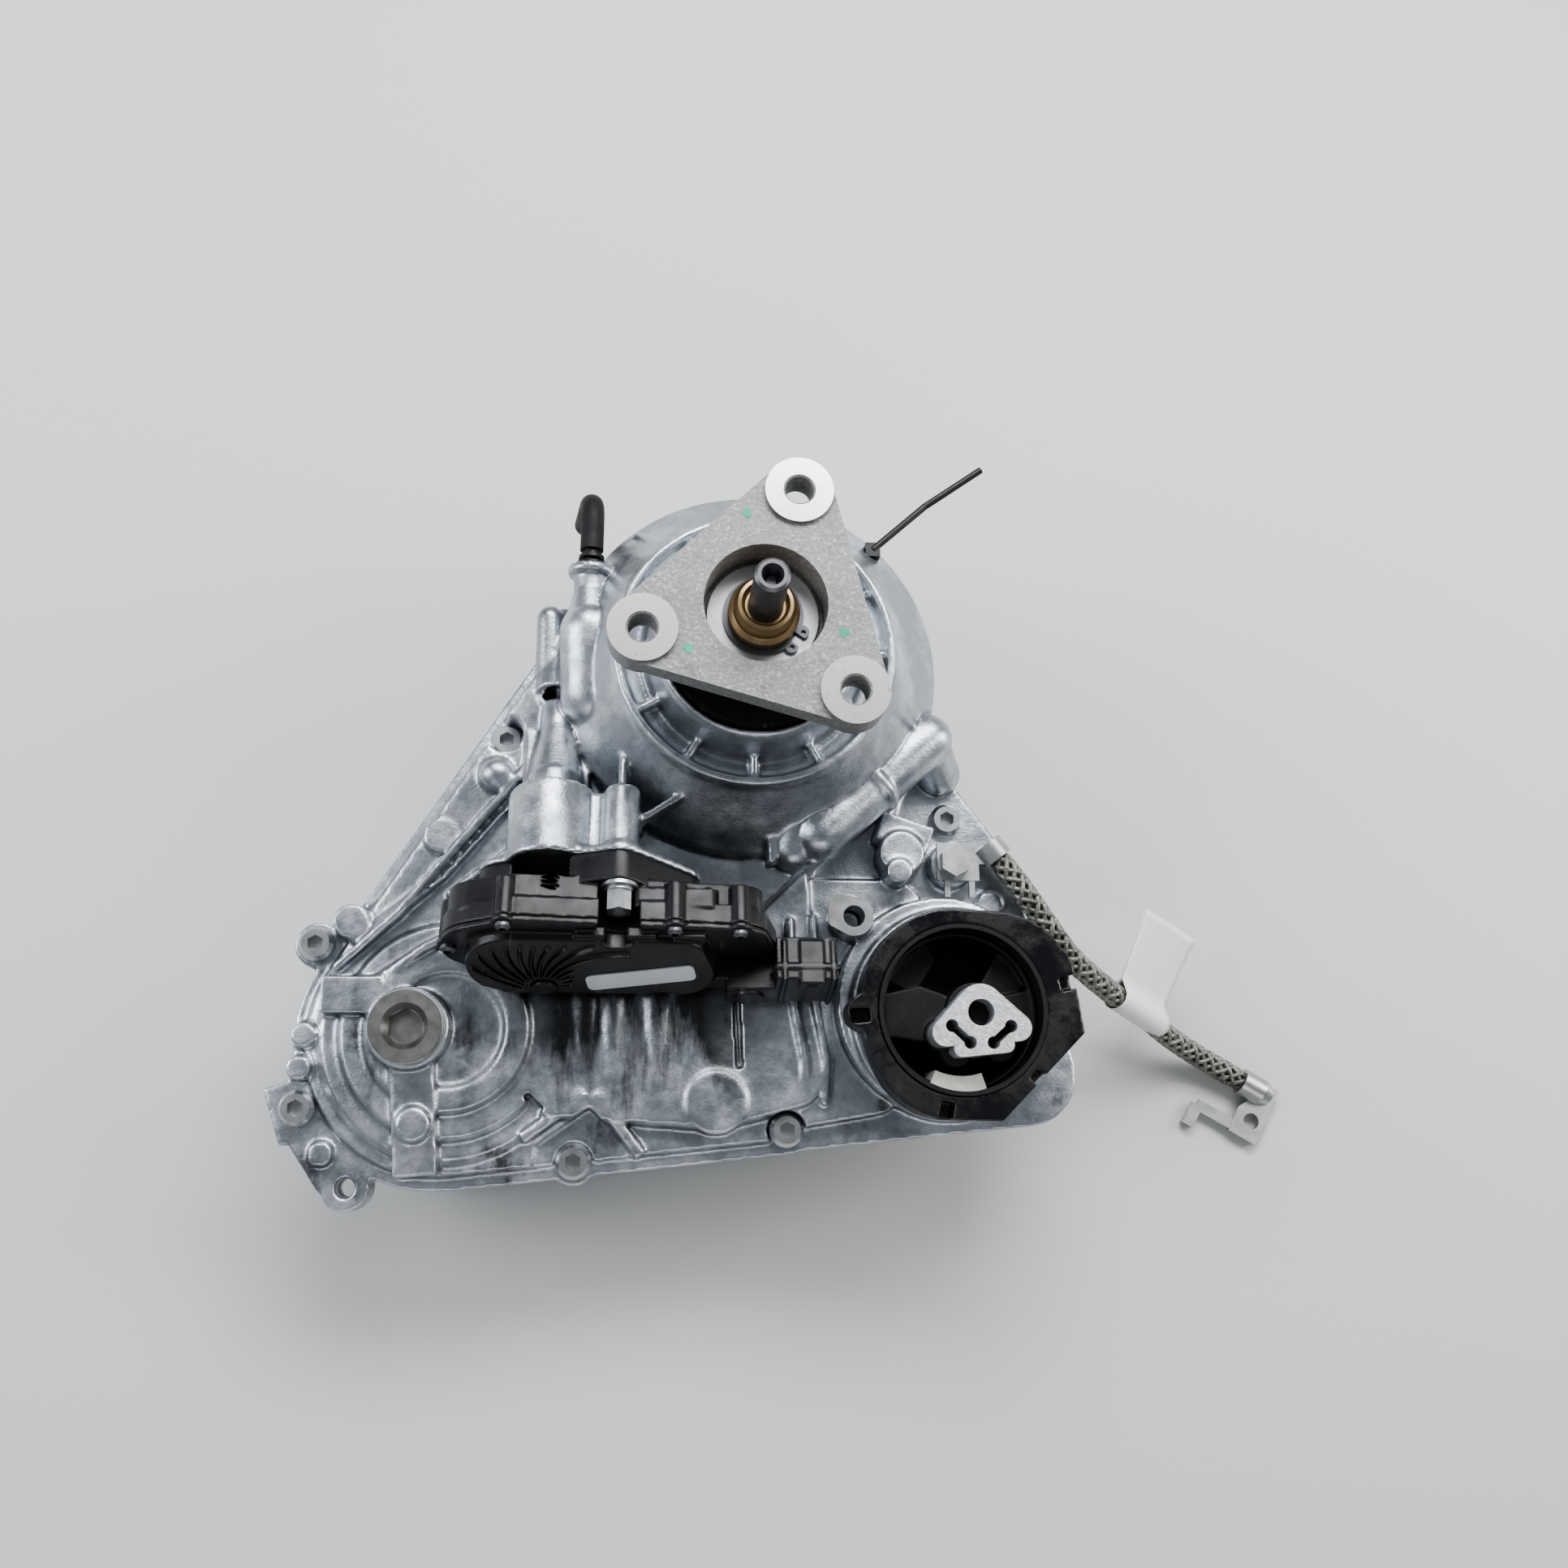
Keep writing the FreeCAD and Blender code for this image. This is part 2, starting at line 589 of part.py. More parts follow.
def right_side():
    """Oil gallery tube, twin-ribbed boss, lug and tabs to the right of the dome."""
    tube_start, tube_end = (32.0, -79.0, 112.0), (84.0, -31.0, 107.0)
    earth_x, earth_y = EARTH_BOLT
    return [
        capsule(tube_start, tube_end, GALLERY_R),
        capsule(tube_end, (94.0, -42.0, 86.0), GALLERY_R - 2.0),
        bar((57.0, -56.0, 109.6), (60.0, -53.2, 109.3), GALLERY_R + 2.0),
        capsule((20.5, -54.0, 116.0), (20.3, -86.0, 108.0), 10.0),
        capsule((1.0, -60.0, 112.0), (1.5, -75.0, 107.0), 9.0),
        rib((8.3, -46.0), (10.2, -93.0), 3.6, PARTING_Z, (126.0, 114.0)),
        rib((29.5, -46.0), (29.5, -93.0), 3.6, PARTING_Z, (126.0, 114.0)),
        rib((-62.0, -60.0), (-26.0, -48.0), 5.0, PARTING_Z, (112.0, 122.0)),
        capsule((-48.0, -66.0, 102.0), (-34.0, -62.0, 104.0), 6.5),
        disc(72.0, -85.0, PARTING_Z, 104.0, 10.5),
        disc(70.5, -94.0, PARTING_Z, 106.0, 6.0),
        rib((62.0, -71.0), (86.0, -79.0), 14.0, PARTING_Z, 102.0),
        disc(*INSERT, PARTING_Z, INSERT_BOSS_Z, 9.5),
        disc(earth_x, earth_y, PARTING_Z, LUG_Z, 10.5),
        disc(118.0, -105.0, PARTING_Z, 84.0, 6.0),
    ]


def mount_carrier():
    return [disc(MX, MY, PARTING_Z, MOUNT_SEAT_Z, MOUNT_BORE_R + 7.0),
            disc(MX - 4.0, MY + 4.0, PARTING_Z, MOUNT_SEAT_Z - 4.0, MOUNT_BORE_R + 8.5),
            belt([(20.0, -110.0, 14.0), (24.0, -200.0, 10.0), (60.0, -192.0, 12.0),
                  (70.0, -110.0, 14.0)], PARTING_Z, LOWER_WALL_Z - 4.0)]


def rear_housing():
    z0 = PARTING_Z
    mouth_x, mouth_y, mouth_z = SNOUT_MOUTH
    outer = flange_plate(z0, z0 + REAR_FLANGE_T)
    outer.append(drafted_belt(WALL_LINE, z0, ROOF_Z, 3.0))
    outer.append(sloping_web())
    outer.append(turned(dome_profile()))
    outer.append(rib((WORM_X, -30.0), (WORM_X, MOTOR_FACE[0] + 2.0), 30.0, z0,
                     (MOTOR_FACE[1] - 22.0, MOTOR_FACE[1])))
    outer += dome_ribs() + motor_pocket() + snout() + front_dome() + lower_wall()
    outer += flank_ribs() + right_side() + mount_carrier()
    body = fuse(outer)
    below = Part.makeBox(700, 700, 200, V(-350, -350, z0 - 200.0))
    inner = [
        belt(CAVITY_LINE, z0 - 1.0, ROOF_Z - WALL),
        turned([(0, z0 - 1.0), (MAIN_WALL_R - WALL, z0 - 1.0), (MAIN_WALL_R - WALL, 103.0),
                (BEAD_R - 2.0, 124.0), (REAR_BEARING[0] + 3.0, 124.0),
                (REAR_BEARING[0] + 3.0, RAMP_PLATE_Z + RAMP_T), (0, RAMP_PLATE_Z + RAMP_T)]),
        disc(0, 0, 90.0, REAR_BEARING_Z + REAR_BEARING[1], REAR_BEARING[0]),
        disc(0, 0, 90.0, NECK_TOP_Z - 22.0, REAR_BEARING[0] - 5.0),
        disc(0, 0, NECK_TOP_Z - 24.0, NECK_TOP_Z - 8.0, REAR_SEAL_R),
        disc(0, 0, NECK_TOP_Z - 10.0, NECK_TOP_Z + 1.0, NECK_R - 4.0),
        disc(FX, FY, z0 - 1.0, TAIL_BEARING_Z, FRONT_WALL_R - WALL - 2.0),
        disc(FX, FY, z0 - 1.0, TAIL_BEARING_Z + TAIL_BEARING[1], TAIL_BEARING[0]),
        disc(*FILL_PLUG, z0 + 9.0, PLUG_TOP_Z, PLUG_THREAD_R),
        disc(MX, MY, z0 - 1.0, MOUNT_SEAT_Z + 1.0, MOUNT_BORE_R),
        disc(*INSERT, 84.0, INSERT_BOSS_Z + 1.0, INSERT_R),
        disc(*OPEN_BOSS, z0 - 1.0, z0 + REAR_FLANGE_T + 1.0, OPEN_HOLE_R),
        disc(*EARTH_BOLT, 80.0, LUG_Z + 1.0, EARTH_THREAD_R),
        bar((mouth_x, mouth_y - 26.0, mouth_z), (mouth_x, mouth_y + 1.0, mouth_z), SNOUT_BORE_R),
        bar(SNOUT_MOUTH, (mouth_x, mouth_y + 40.0, mouth_z), HOSE_R + 3.0),
        tie_head(),
    ]
    inner += [on_actuator(s) for s in (
        disc(WORM_X, 0, -32.0, 1.0, MOTOR_R + RUNNING_GAP),
        disc(WORM_X, 0, -129.0, -30.0, WORM_SHAFT_R + RUNNING_GAP),
        disc(WORM_X, 0, -84.0, -34.0, WORM_SHAFT_R + 1.0),
        disc(WORM_X, 0, -120.0, -86.0, WORM_R + AIR_GAP),
        disc(*ACT_BOLT, -24.0, 1.0, ACT_BOLT_R + RUNNING_GAP),
        belt(grown(ACT_RIM, 1.0), ACT_BACK_W - AIR_GAP, ACT_FACE_W + 20.0),
    )]
    inner += bolt_holes(z0 - 1.0, z0 + REAR_FLANGE_T + 1.0, CASE_BOLT_R + 0.4)
    inner += [disc(x, y, z0 + REAR_FLANGE_T, z0 + 80.0, CASE_BOLT_HEAD_R + 0.8)
              for x, y in CASE_BOLTS]
    inner += [disc(x, y, z0 - 1.0, z0 + 6.0, DOWEL_R) for x, y in DOWELS]
    inner += lower_recesses()
    body = body.cut(below)
    return cut(body, inner)


# ---- bolts and dowels ------------------------------------------------

def socket_bolt(x, y, seat_z, head_r, head_h, shank_r, length, socket_r):
    """Round-headed bolt, socket in its head, pointing down from its seat."""
    head = turned([(0, seat_z), (head_r, seat_z), (head_r, seat_z + 0.6 * head_h),
                   (head_r - 1.6, seat_z + head_h), (0, seat_z + head_h)], x, y)
    socket = hexagon(x, y, seat_z + 0.35 * head_h, seat_z + head_h + 1.0, 1.8 * socket_r)
    shank = disc(x, y, seat_z - length, seat_z, shank_r)
    return fuse([head, shank]).cut(socket)


def case_bolts():
    seat = PARTING_Z + REAR_FLANGE_T
    reach = REAR_FLANGE_T + 18.0
    return Part.makeCompound([
        socket_bolt(x, y, seat, CASE_BOLT_HEAD_R, CASE_BOLT_HEAD_H, CASE_BOLT_R, reach, 3.6)
        for x, y in CASE_BOLTS])


def dowel_sleeves():
    r = DOWEL_R - RUNNING_GAP
    return Part.makeCompound([ring(x, y, PARTING_Z - 5.9, PARTING_Z + 5.9, r, r - 1.5)
                              for x, y in DOWELS])


# ---- bearings and seals -------------------------------------------------------------

def needle_bearing(x, y, z, size, shaft_r):
    """Drawn cup with needles that run on the shaft itself."""
    r_out, width = size
    cup_r = shaft_r + 4.0
    cup = ring(x, y, z, z + width, r_out - RUNNING_GAP, cup_r)
    middle = (x + shaft_r + 2.0 + RUNNING_GAP, y)
    needle = prism([polar(1.9, 45.0 * k + 22.5, *middle) for k in range(8)],
                   z + 1.0, z + width - 1.0)
    return Part.makeCompound([cup] + spread(needle, NEEDLES, 0.0, x, y))


def faceted_ball(x, y, z, r):
    """Rolling ball in flat facets: two eight-sided caps on an eight-sided belt."""
    rows = [(0.45 * r, -0.9 * r), (r, -0.38 * r), (r, 0.38 * r), (0.45 * r, 0.9 * r)]
    loops = []
    for radius, rise in rows:
        corners = [V(*polar(radius, 45.0 * k, x, y), z + rise) for k in range(8)]
        loops.append(Part.makePolygon(corners + corners[:1]))
    return Part.makeLoft(loops, True, True)


def ball_bearing(x, y, z, size, shaft_r):
    """Outer race with its caged balls, and the inner race."""
    r_out, width = size
    mid = 0.5 * (r_out + shaft_r)
    ball_r = 0.27 * (r_out - shaft_r)
    race = 0.5 * (r_out - shaft_r) - ball_r - RUNNING_GAP
    outer = ring(x, y, z, z + width, r_out - RUNNING_GAP, r_out - race)
    inner = ring(x, y, z, z + width, shaft_r + race, shaft_r + RUNNING_GAP)
    balls = [faceted_ball(*polar(mid, 360.0 / BEARING_BALLS * k, x, y), z + 0.5 * width, ball_r)
             for k in range(BEARING_BALLS)]
    return Part.makeCompound([outer] + balls), inner


def lip_seal(x, y, z0, z1, r_out, shaft_r):
    """Seal ring: a steel case and a lip that leans to the shaft."""
    lip_r = shaft_r + AIR_GAP
    z_mid = 0.5 * (z0 + z1)
    return turned([(r_out - RUNNING_GAP, z0), (r_out - RUNNING_GAP, z1), (lip_r + 2.0, z1),
                   (lip_r, z_mid), (r_out - 2.0, z_mid - 1.0), (r_out - 2.0, z0)], x, y)


# ---- main shaft and what turns with it ----------------------------------------------

def main_shaft():
    body = turned([
        (0, 2.0), (INPUT_R, 2.0), (INPUT_R, 38.0), (SLEEVE_JOURNAL_R, 40.0),
        (SLEEVE_JOURNAL_R, 66.0), (REAR_JOURNAL_R + 2.0, 66.2), (REAR_JOURNAL_R + 2.0, 108.0),
        (REAR_JOURNAL_R, 110.0), (REAR_JOURNAL_R, HUB_BOTTOM_Z - 1.5),
        (SPLINE_R, HUB_BOTTOM_Z - 0.5),
        (SPLINE_R, WASHER_Z + WASHER_T), (SPLINE_R - 1.4, WASHER_Z + WASHER_T),
        (SPLINE_R - 1.4, WASHER_Z + WASHER_T + 2.0), (PIN_SEAT_R, WASHER_Z + WASHER_T + 2.0),
        (PIN_SEAT_R, COLLAR_TOP_Z - 3.0), (PIN_R, COLLAR_TOP_Z - 2.0), (PIN_R, PIN_TIP_Z - 1.2), (PIN_R - 1.2, PIN_TIP_Z), (0, PIN_TIP_Z)])
    socket = disc(0, 0, 0, INPUT_BORE_L, INPUT_BORE_R)
    teeth = spread(prism([(INPUT_BORE_R - 1.0, -1.0), (INPUT_BORE_R + 1.6, -0.6),
                          (INPUT_BORE_R + 1.6, 0.6), (INPUT_BORE_R - 1.0, 1.0)],
                         10.0, INPUT_BORE_L), SPLINE_TEETH)
    dimple = cone(0, 0, PIN_TIP_Z - 7.0, PIN_TIP_Z + 0.5, 2.0, 4.8)
    return cut(body, [socket, dimple] + teeth)


def clutch_hub():
    drum_z = PACK_Z - AIR_GAP
    top = pack_top() - AIR_GAP
    shaft = REAR_JOURNAL_R + 2.0 + RUNNING_GAP
    body = turned([(shaft, drum_z), (HUB_DRUM_R, drum_z), (HUB_DRUM_R, top),
                   (HUB_DRUM_R - 4.0, top), (HUB_DRUM_R - 4.0, drum_z + 6.0),
                   (shaft + 6.0, drum_z + 6.0), (shaft + 6.0, top - 4.0), (shaft, top - 4.0)])
    groove = Part.makeBox(3.0, 4.0, 60.0, V(HUB_DRUM_R - 1.5, -2.0, drum_z - 10.0))
    return cut(body, spread(groove, SPLINE_TEETH // 2))


def pack_top():
    return PACK_Z + 2 * PLATE_COUNT * (DISC_T + DISC_GAP)


def inner_discs():
    """Friction discs, their lugs in the hub grooves."""
    discs = []
    for i in range(PLATE_COUNT):
        z = PACK_Z + (2 * i + 1) * (DISC_T + DISC_GAP)
        plate = ring(0, 0, z, z + DISC_T, BASKET_R - BASKET_T - 2.5, HUB_DRUM_R + AIR_GAP)
        lug = Part.makeBox(3.5, 3.4, DISC_T, V(HUB_DRUM_R - 1.2, -1.7, z))
        discs.append(fuse([plate] + spread(lug, SPLINE_TEETH // 2)))
    return Part.makeCompound(discs)


def outer_discs():
    """Steel discs, their lugs in the basket slots."""
    discs = []
    for i in range(PLATE_COUNT):
        z = PACK_Z + 2 * i * (DISC_T + DISC_GAP)
        plate = ring(0, 0, z, z + DISC_T, BASKET_R - BASKET_T - AIR_GAP, HUB_DRUM_R + 2.5)
        lug = Part.makeBox(4.0, 5.4, DISC_T, V(BASKET_R - BASKET_T - 1.5, -2.7, z))
        discs.append(fuse([plate] + spread(lug, SPLINE_TEETH // 2)))
    return Part.makeCompound(discs)


def clutch_basket():
    floor_z = CHAIN_Z + 0.5 * CHAIN_WIDTH + 2.0
    body = ring(0, 0, floor_z, pack_top() + 1.0, BASKET_R, BASKET_R - BASKET_T)
    floor = ring(0, 0, floor_z, floor_z + 4.0, BASKET_R, SLEEVE_JOURNAL_R + RUNNING_GAP)
    slot = Part.makeBox(6.0, 6.0, 60.0, V(BASKET_R - BASKET_T - 0.5, -3.0, floor_z + 4.0))
    return cut(fuse([body, floor]), spread(slot, SPLINE_TEETH // 2))


def rear_output_flange():
    """Three-armed flange: cast plate, machined bosses, splined hub."""
    places = [polar(0.5 * FLANGE_PCD, FLANGE_PHASE + 120.0 * k) for k in range(3)]
    top = FLANGE_FACE_Z - FLANGE_RELIEF
    plate = belt([(x, y, FLANGE_BOSS_R) for x, y in places], top - FLANGE_PLATE_T, top)
    bosses = [disc(x, y, FLANGE_FACE_Z - FLANGE_BOSS_H, FLANGE_FACE_Z, FLANGE_BOSS_R)
              for x, y in places]
    hub = turned([(0, HUB_BOTTOM_Z), (REAR_SEAL_R - 12.0, HUB_BOTTOM_Z),
                  (REAR_SEAL_R - 12.0, NECK_TOP_Z + 2.0), (HUB_R, NECK_TOP_Z + 6.0),
                  (HUB_R + 4.0, top - FLANGE_PLATE_T), (HUB_R + 4.0, top - 1.0), (0, top - 1.0)])
    body = fuse([plate, hub] + bosses)
    tools = [disc(0, 0, WASHER_Z, top + 1.0, FLANGE_BORE_R),
             disc(0, 0, HUB_BOTTOM_Z - 1.0, WASHER_Z + 1.0, SPLINE_R + RUNNING_GAP)]
    for x, y in places:
        tools.append(disc(x, y, 150.0, FLANGE_FACE_Z + 1.0, FLANGE_HOLE_R))
        tools.append(cone(x, y, FLANGE_FACE_Z - 0.8, FLANGE_FACE_Z + 0.2, FLANGE_HOLE_R,
                          FLANGE_HOLE_R + 1.0))
    return cut(body, tools)


def centring_collar():
    z0 = WASHER_Z + WASHER_T + 2.0
    bore = PIN_SEAT_R + RUNNING_GAP
    return turned([(bore, z0), (COLLAR_FLANGE_R, z0), (COLLAR_FLANGE_R, z0 + 5.0),
                   (COLLAR_R, z0 + 6.5), (COLLAR_R, COLLAR_TOP_Z - 3.0),
                   (COLLAR_R - 1.5, COLLAR_TOP_Z - 0.5), (COLLAR_R - 3.0, COLLAR_TOP_Z),
                   (bore + 1.0, COLLAR_TOP_Z - 3.0), (bore, COLLAR_TOP_Z - 3.0)])


def flange_washer():
    return ring(0, 0, WASHER_Z, WASHER_Z + WASHER_T, WASHER_R, SPLINE_R + RUNNING_GAP)


def flange_circlip():
    """External circlip with two eyelets beside its gap."""
    z0 = WASHER_Z + WASHER_T
    z1 = z0 + CIRCLIP_T
    body = ring(0, 0, z0, z1, CIRCLIP_R, SPLINE_R - 1.35)
    ears = [disc(*polar(CIRCLIP_R + 0.8, a), z0, z1, 2.9) for a in (-22.0, -48.0)]
    gap = rib(polar(5.0, -35.0), polar(30.0, -35.0), 4.4, z0 - 1.0, z1 + 1.0)
    core = disc(0, 0, z0 - 1.0, z1 + 1.0, SPLINE_R - 1.35)
    eyes = [disc(*polar(CIRCLIP_R + 1.2, a), z0 - 1.0, z1 + 1.0, 1.1) for a in (-22.0, -48.0)]
    return cut(fuse([body] + ears), [gap, core] + eyes)


def dust_shield():
    """Black dust ring pressed on the flange hub over the seal."""
    z0 = NECK_TOP_Z - 6.0
    inner = REAR_SEAL_R - 12.0 + RUNNING_GAP
    return turned([(inner, z0), (NECK_R - 4.8, z0), (NECK_R - 4.8, z0 + 8.0),
                   (NECK_R - 6.5, z0 + 8.0), (NECK_R - 6.5, z0 + 2.0), (inner, z0 + 2.0)])


# ---- chain drive --------------------------------------------------------------------

PITCH_R = 0.5 * CHAIN_PITCH / math.sin(math.pi / TOOTH_COUNT)


def sprocket_blank(x, y, bore_r, phase):
    """Toothed wheel: straight-sided teeth below the chain's inner edge."""
    tip = PITCH_R * math.cos(math.pi / TOOTH_COUNT) - 0.5 * PLATE_H - AIR_GAP
    root = tip - TOOTH_H
    step = 360.0 / TOOTH_COUNT
    corners = []
    for i in range(TOOTH_COUNT):
        for radius, share in ((root, -0.34), (tip, -0.16), (tip, 0.16), (root, 0.34)):
            corners.append(polar(radius, phase + step * (i + share), x, y))
    half = 0.5 * CHAIN_WIDTH
    wheel = prism(corners, CHAIN_Z - half, CHAIN_Z + half)
    return wheel.cut(disc(x, y, CHAIN_Z - half - 1.0, CHAIN_Z + half + 1.0, bore_r))


def drive_sprocket():
    """Toothed wheel that the clutch basket drives, with its collar against the basket."""
    bore = SLEEVE_JOURNAL_R + 3.0
    hub_top = CHAIN_Z + 0.5 * CHAIN_WIDTH + 2.0
    collar = ring(0, 0, CHAIN_Z, hub_top, bore + 14.0, bore)
    return fuse([sprocket_blank(0, 0, bore, 0.0), collar])


def sprocket_needle_sleeve():
    """Needle bearing sleeve that lets the drive sprocket turn on the main shaft."""
    half = 0.5 * CHAIN_WIDTH
    return ring(0, 0, CHAIN_Z - half, CHAIN_Z + half, SLEEVE_JOURNAL_R + 3.0 - RUNNING_GAP,
                SLEEVE_JOURNAL_R + RUNNING_GAP)


def driven_sprocket():
    return sprocket_blank(FX, FY, FRONT_SHAFT_R + RUNNING_GAP, 3.0)


def drive_chain():
    """Leaf chain: side plates and centre plates take turns along the loop."""
    reach = math.hypot(FX, FY)
    heading = math.atan2(FY, FX)
    arc = math.pi * PITCH_R
    loop = 2.0 * (reach + arc)
    count = 2 * round(0.5 * loop / CHAIN_PITCH)
    spacing = loop / count

    def pin(s):
        s = s % loop
        if s < reach:
            px, py, turn = s, -PITCH_R, None
        elif s < reach + arc:
            turn = (s - reach) / PITCH_R - 0.5 * math.pi
            px, py = reach + PITCH_R * math.cos(turn), PITCH_R * math.sin(turn)
        elif s < 2.0 * reach + arc:
            px, py = 2.0 * reach + arc - s, PITCH_R
        else:
            turn = (s - 2.0 * reach - arc) / PITCH_R + 0.5 * math.pi
            px, py = PITCH_R * math.cos(turn), PITCH_R * math.sin(turn)
        c, d = math.cos(heading), math.sin(heading)
        return px * c - py * d, px * d + py * c

    plates = []
    half = 0.5 * PLATE_H
    for i in range(count):
        (xa, ya), (xb, yb) = pin(i * spacing), pin((i + 1) * spacing)
        length = math.hypot(xb - xa, yb - ya)
        ux, uy = (xb - xa) / length, (yb - ya) / length
        outline = [(-2.6, -half + 1.6), (-0.8, -half), (length + 0.8, -half),
                   (length + 2.6, -half + 1.6), (length + 2.6, half - 1.6),
                   (length + 0.8, half), (-0.8, half), (-2.6, half - 1.6)]
        corners = [(xa + u * ux - v * uy, ya + u * uy + v * ux) for u, v in outline]
        layers = [(-8.6, -3.3), (3.3, 8.6)] if i % 2 else [(-3.0, 3.0)]
        plates += [prism(corners, CHAIN_Z + low, CHAIN_Z + high) for low, high in layers]
    return Part.makeCompound(plates)


# ---- front output shaft -------------------------------------------------------------

def front_output_shaft():
    body = turned([
        (0, 0.4), (FRONT_SHAFT_R, 0.4), (FRONT_SHAFT_R, FRONT_BEARING_Z + FRONT_BEARING[1]),
        (FRONT_SHAFT_R + 4.0, FRONT_BEARING_Z + FRONT_BEARING[1]),
        (FRONT_SHAFT_R + 4.0, CHAIN_Z - 0.5 * CHAIN_WIDTH),
        (FRONT_SHAFT_R, CHAIN_Z - 0.5 * CHAIN_WIDTH),
        (FRONT_SHAFT_R, CHAIN_Z + 0.5 * CHAIN_WIDTH + 2.0),
        (TAIL_JOURNAL_R, CHAIN_Z + 0.5 * CHAIN_WIDTH + 4.0),
        (TAIL_JOURNAL_R, TAIL_BEARING_Z + TAIL_BEARING[1] - 1.0),
        (0, TAIL_BEARING_Z + TAIL_BEARING[1] - 1.0)], FX, FY)
    bore = disc(FX, FY, -1.0, FRONT_BORE_L, FRONT_BORE_R)
    teeth = spread(prism([(FX + FRONT_BORE_R - 1.0, FY - 0.9), (FX + FRONT_BORE_R + 1.3, FY - 0.5),
                          (FX + FRONT_BORE_R + 1.3, FY + 0.5), (FX + FRONT_BORE_R - 1.0, FY + 0.9)],
                         10.0, FRONT_BORE_L), SPLINE_TEETH, 0.0, FX, FY)
    return cut(body, [bore] + teeth)


# ---- oil pump -----------------------------------------------------------------------

PUMP_Z = INPUT_BEARING_Z + INPUT_BEARING[1]


def oil_pump_body():
    body = disc(0, 0, PUMP_Z, PUMP_Z + PUMP_H, INPUT_BEARING[0] + WALL - 1.0)
    body = body.cut(disc(0, 0, PUMP_Z - 1.0, PUMP_Z + PUMP_H + 1.0, PUMP_BORE_R))
    spout = disc(*polar(INPUT_BEARING[0], 250.0), PUMP_Z, PUMP_Z + PUMP_H, 7.0)
    return fuse([body, spout]).cut(disc(*polar(INPUT_BEARING[0], 250.0), PUMP_Z - 1.0,
                                        PUMP_Z + PUMP_H + 1.0, 3.0))


def oil_pump_rotor():
    """Lobed pump rotor keyed to the main shaft."""
    hub = ring(0, 0, PUMP_Z + AIR_GAP, PUMP_Z + PUMP_H - AIR_GAP, PUMP_BORE_R - 5.0,
               INPUT_R + RUNNING_GAP)
    lobe = disc(PUMP_BORE_R - 5.5, 0, PUMP_Z + AIR_GAP, PUMP_Z + PUMP_H - AIR_GAP, 5.0)
    hub = fuse([hub] + spread(lobe, 6))
    return hub.cut(disc(0, 0, PUMP_Z - 1.0, PUMP_Z + PUMP_H + 1.0, INPUT_R + RUNNING_GAP))


# ---- clutch actuation ---------------------------------------------------------------

RING_Z = MOTOR_FACE[1] + MOTOR_FACE[0] * math.tan(math.radians(WORM_TILT)) - 0.5 * RING_T
PRESSURE_Z = pack_top() + PRESSURE_TRAVEL + 0.2


def pressure_plate():
    return ring(0, 0, PRESSURE_Z, RING_Z - 3.0 - 2 * RUNNING_GAP, BASKET_R - BASKET_T - 2.0,
                REAR_JOURNAL_R + 8.0)


def thrust_bearing():
    return ring(0, 0, RING_Z - 3.0, RING_Z - RUNNING_GAP, BASKET_R - 10.0, REAR_JOURNAL_R + 14.0)


def ramp_groove():
    """Groove that gets shallower by the plate's travel as the ring turns."""
    half = RAMP_BALL_R + 0.6
    top = RING_Z + RING_T
    steps = 4
    sections = []
    for i in range(steps + 1):
        a = 5.0 - (RAMP_TRAVEL + 9.0) * i / steps
        depth = PRESSURE_TRAVEL * min(1.0, 1.0 + a / RAMP_TRAVEL) + 0.02
        places = [polar(RAMP_PITCH_R + side * half, a) for side in (-1.0, 1.0)]
        (xa, ya), (xb, yb) = places
        corners = [V(xa, ya, top - depth), V(xb, yb, top - depth), V(xb, yb, top + 2.0),
                   V(xa, ya, top + 2.0)]
        sections.append(Part.makePolygon(corners + corners[:1]))
    pieces = [Part.makeLoft([sections[i], sections[i + 1]], True, True) for i in range(steps)]
    return fuse(pieces)


def adjusting_ring():
    """Ball-ramp ring with a toothed sector that the worm drives."""
    body = ring(0, 0, RING_Z, RING_Z + RING_T, RAMP_PITCH_R + 10.0, REAR_JOURNAL_R + 12.0)
    half = 0.5 * RING_SECTOR
    root = RING_TIP_R - 2.2
    corners = [polar(RAMP_PITCH_R + 2.0, 180.0 - half), polar(RAMP_PITCH_R + 2.0, 180.0 + half)]
    step = 360.0 / RING_TEETH
    teeth = int(RING_SECTOR / step)
    for i in range(teeth):
        a = 180.0 + 0.5 * (teeth - 1) * step - i * step
        for radius, share in ((root, 0.32), (RING_TIP_R, 0.13), (RING_TIP_R, -0.13),
                              (root, -0.32)):
            corners.append(polar(radius, a + share * step))
    sector = prism(corners, RING_Z, RING_Z + RING_T)
    return cut(fuse([body, sector]), spread(ramp_groove(), RAMP_BALLS))


RAMP_PLATE_Z = RING_Z + RING_T + 2.6


def ramp_plate():
    """Fixed half of the ball ramp, held in the rear housing."""
    body = ring(0, 0, RAMP_PLATE_Z, RAMP_PLATE_Z + RAMP_T, RAMP_PITCH_R + 8.0,
                REAR_JOURNAL_R + 12.0)
    pockets = [disc(*polar(RAMP_PITCH_R, 360.0 / RAMP_BALLS * k), RAMP_PLATE_Z - 1.0,
                    ramp_ball_z() + 0.9 * RAMP_BALL_R + RUNNING_GAP, RAMP_BALL_R + RUNNING_GAP)
               for k in range(RAMP_BALLS)]
    return cut(body, pockets)


def ramp_ball_z():
    return RING_Z + RING_T - 1.4 + AIR_GAP + RAMP_BALL_R


def ramp_balls():
    places = [polar(RAMP_PITCH_R, 360.0 / RAMP_BALLS * k) for k in range(RAMP_BALLS)]
    return Part.makeCompound([faceted_ball(*place, ramp_ball_z(), RAMP_BALL_R)
                              for place in places])


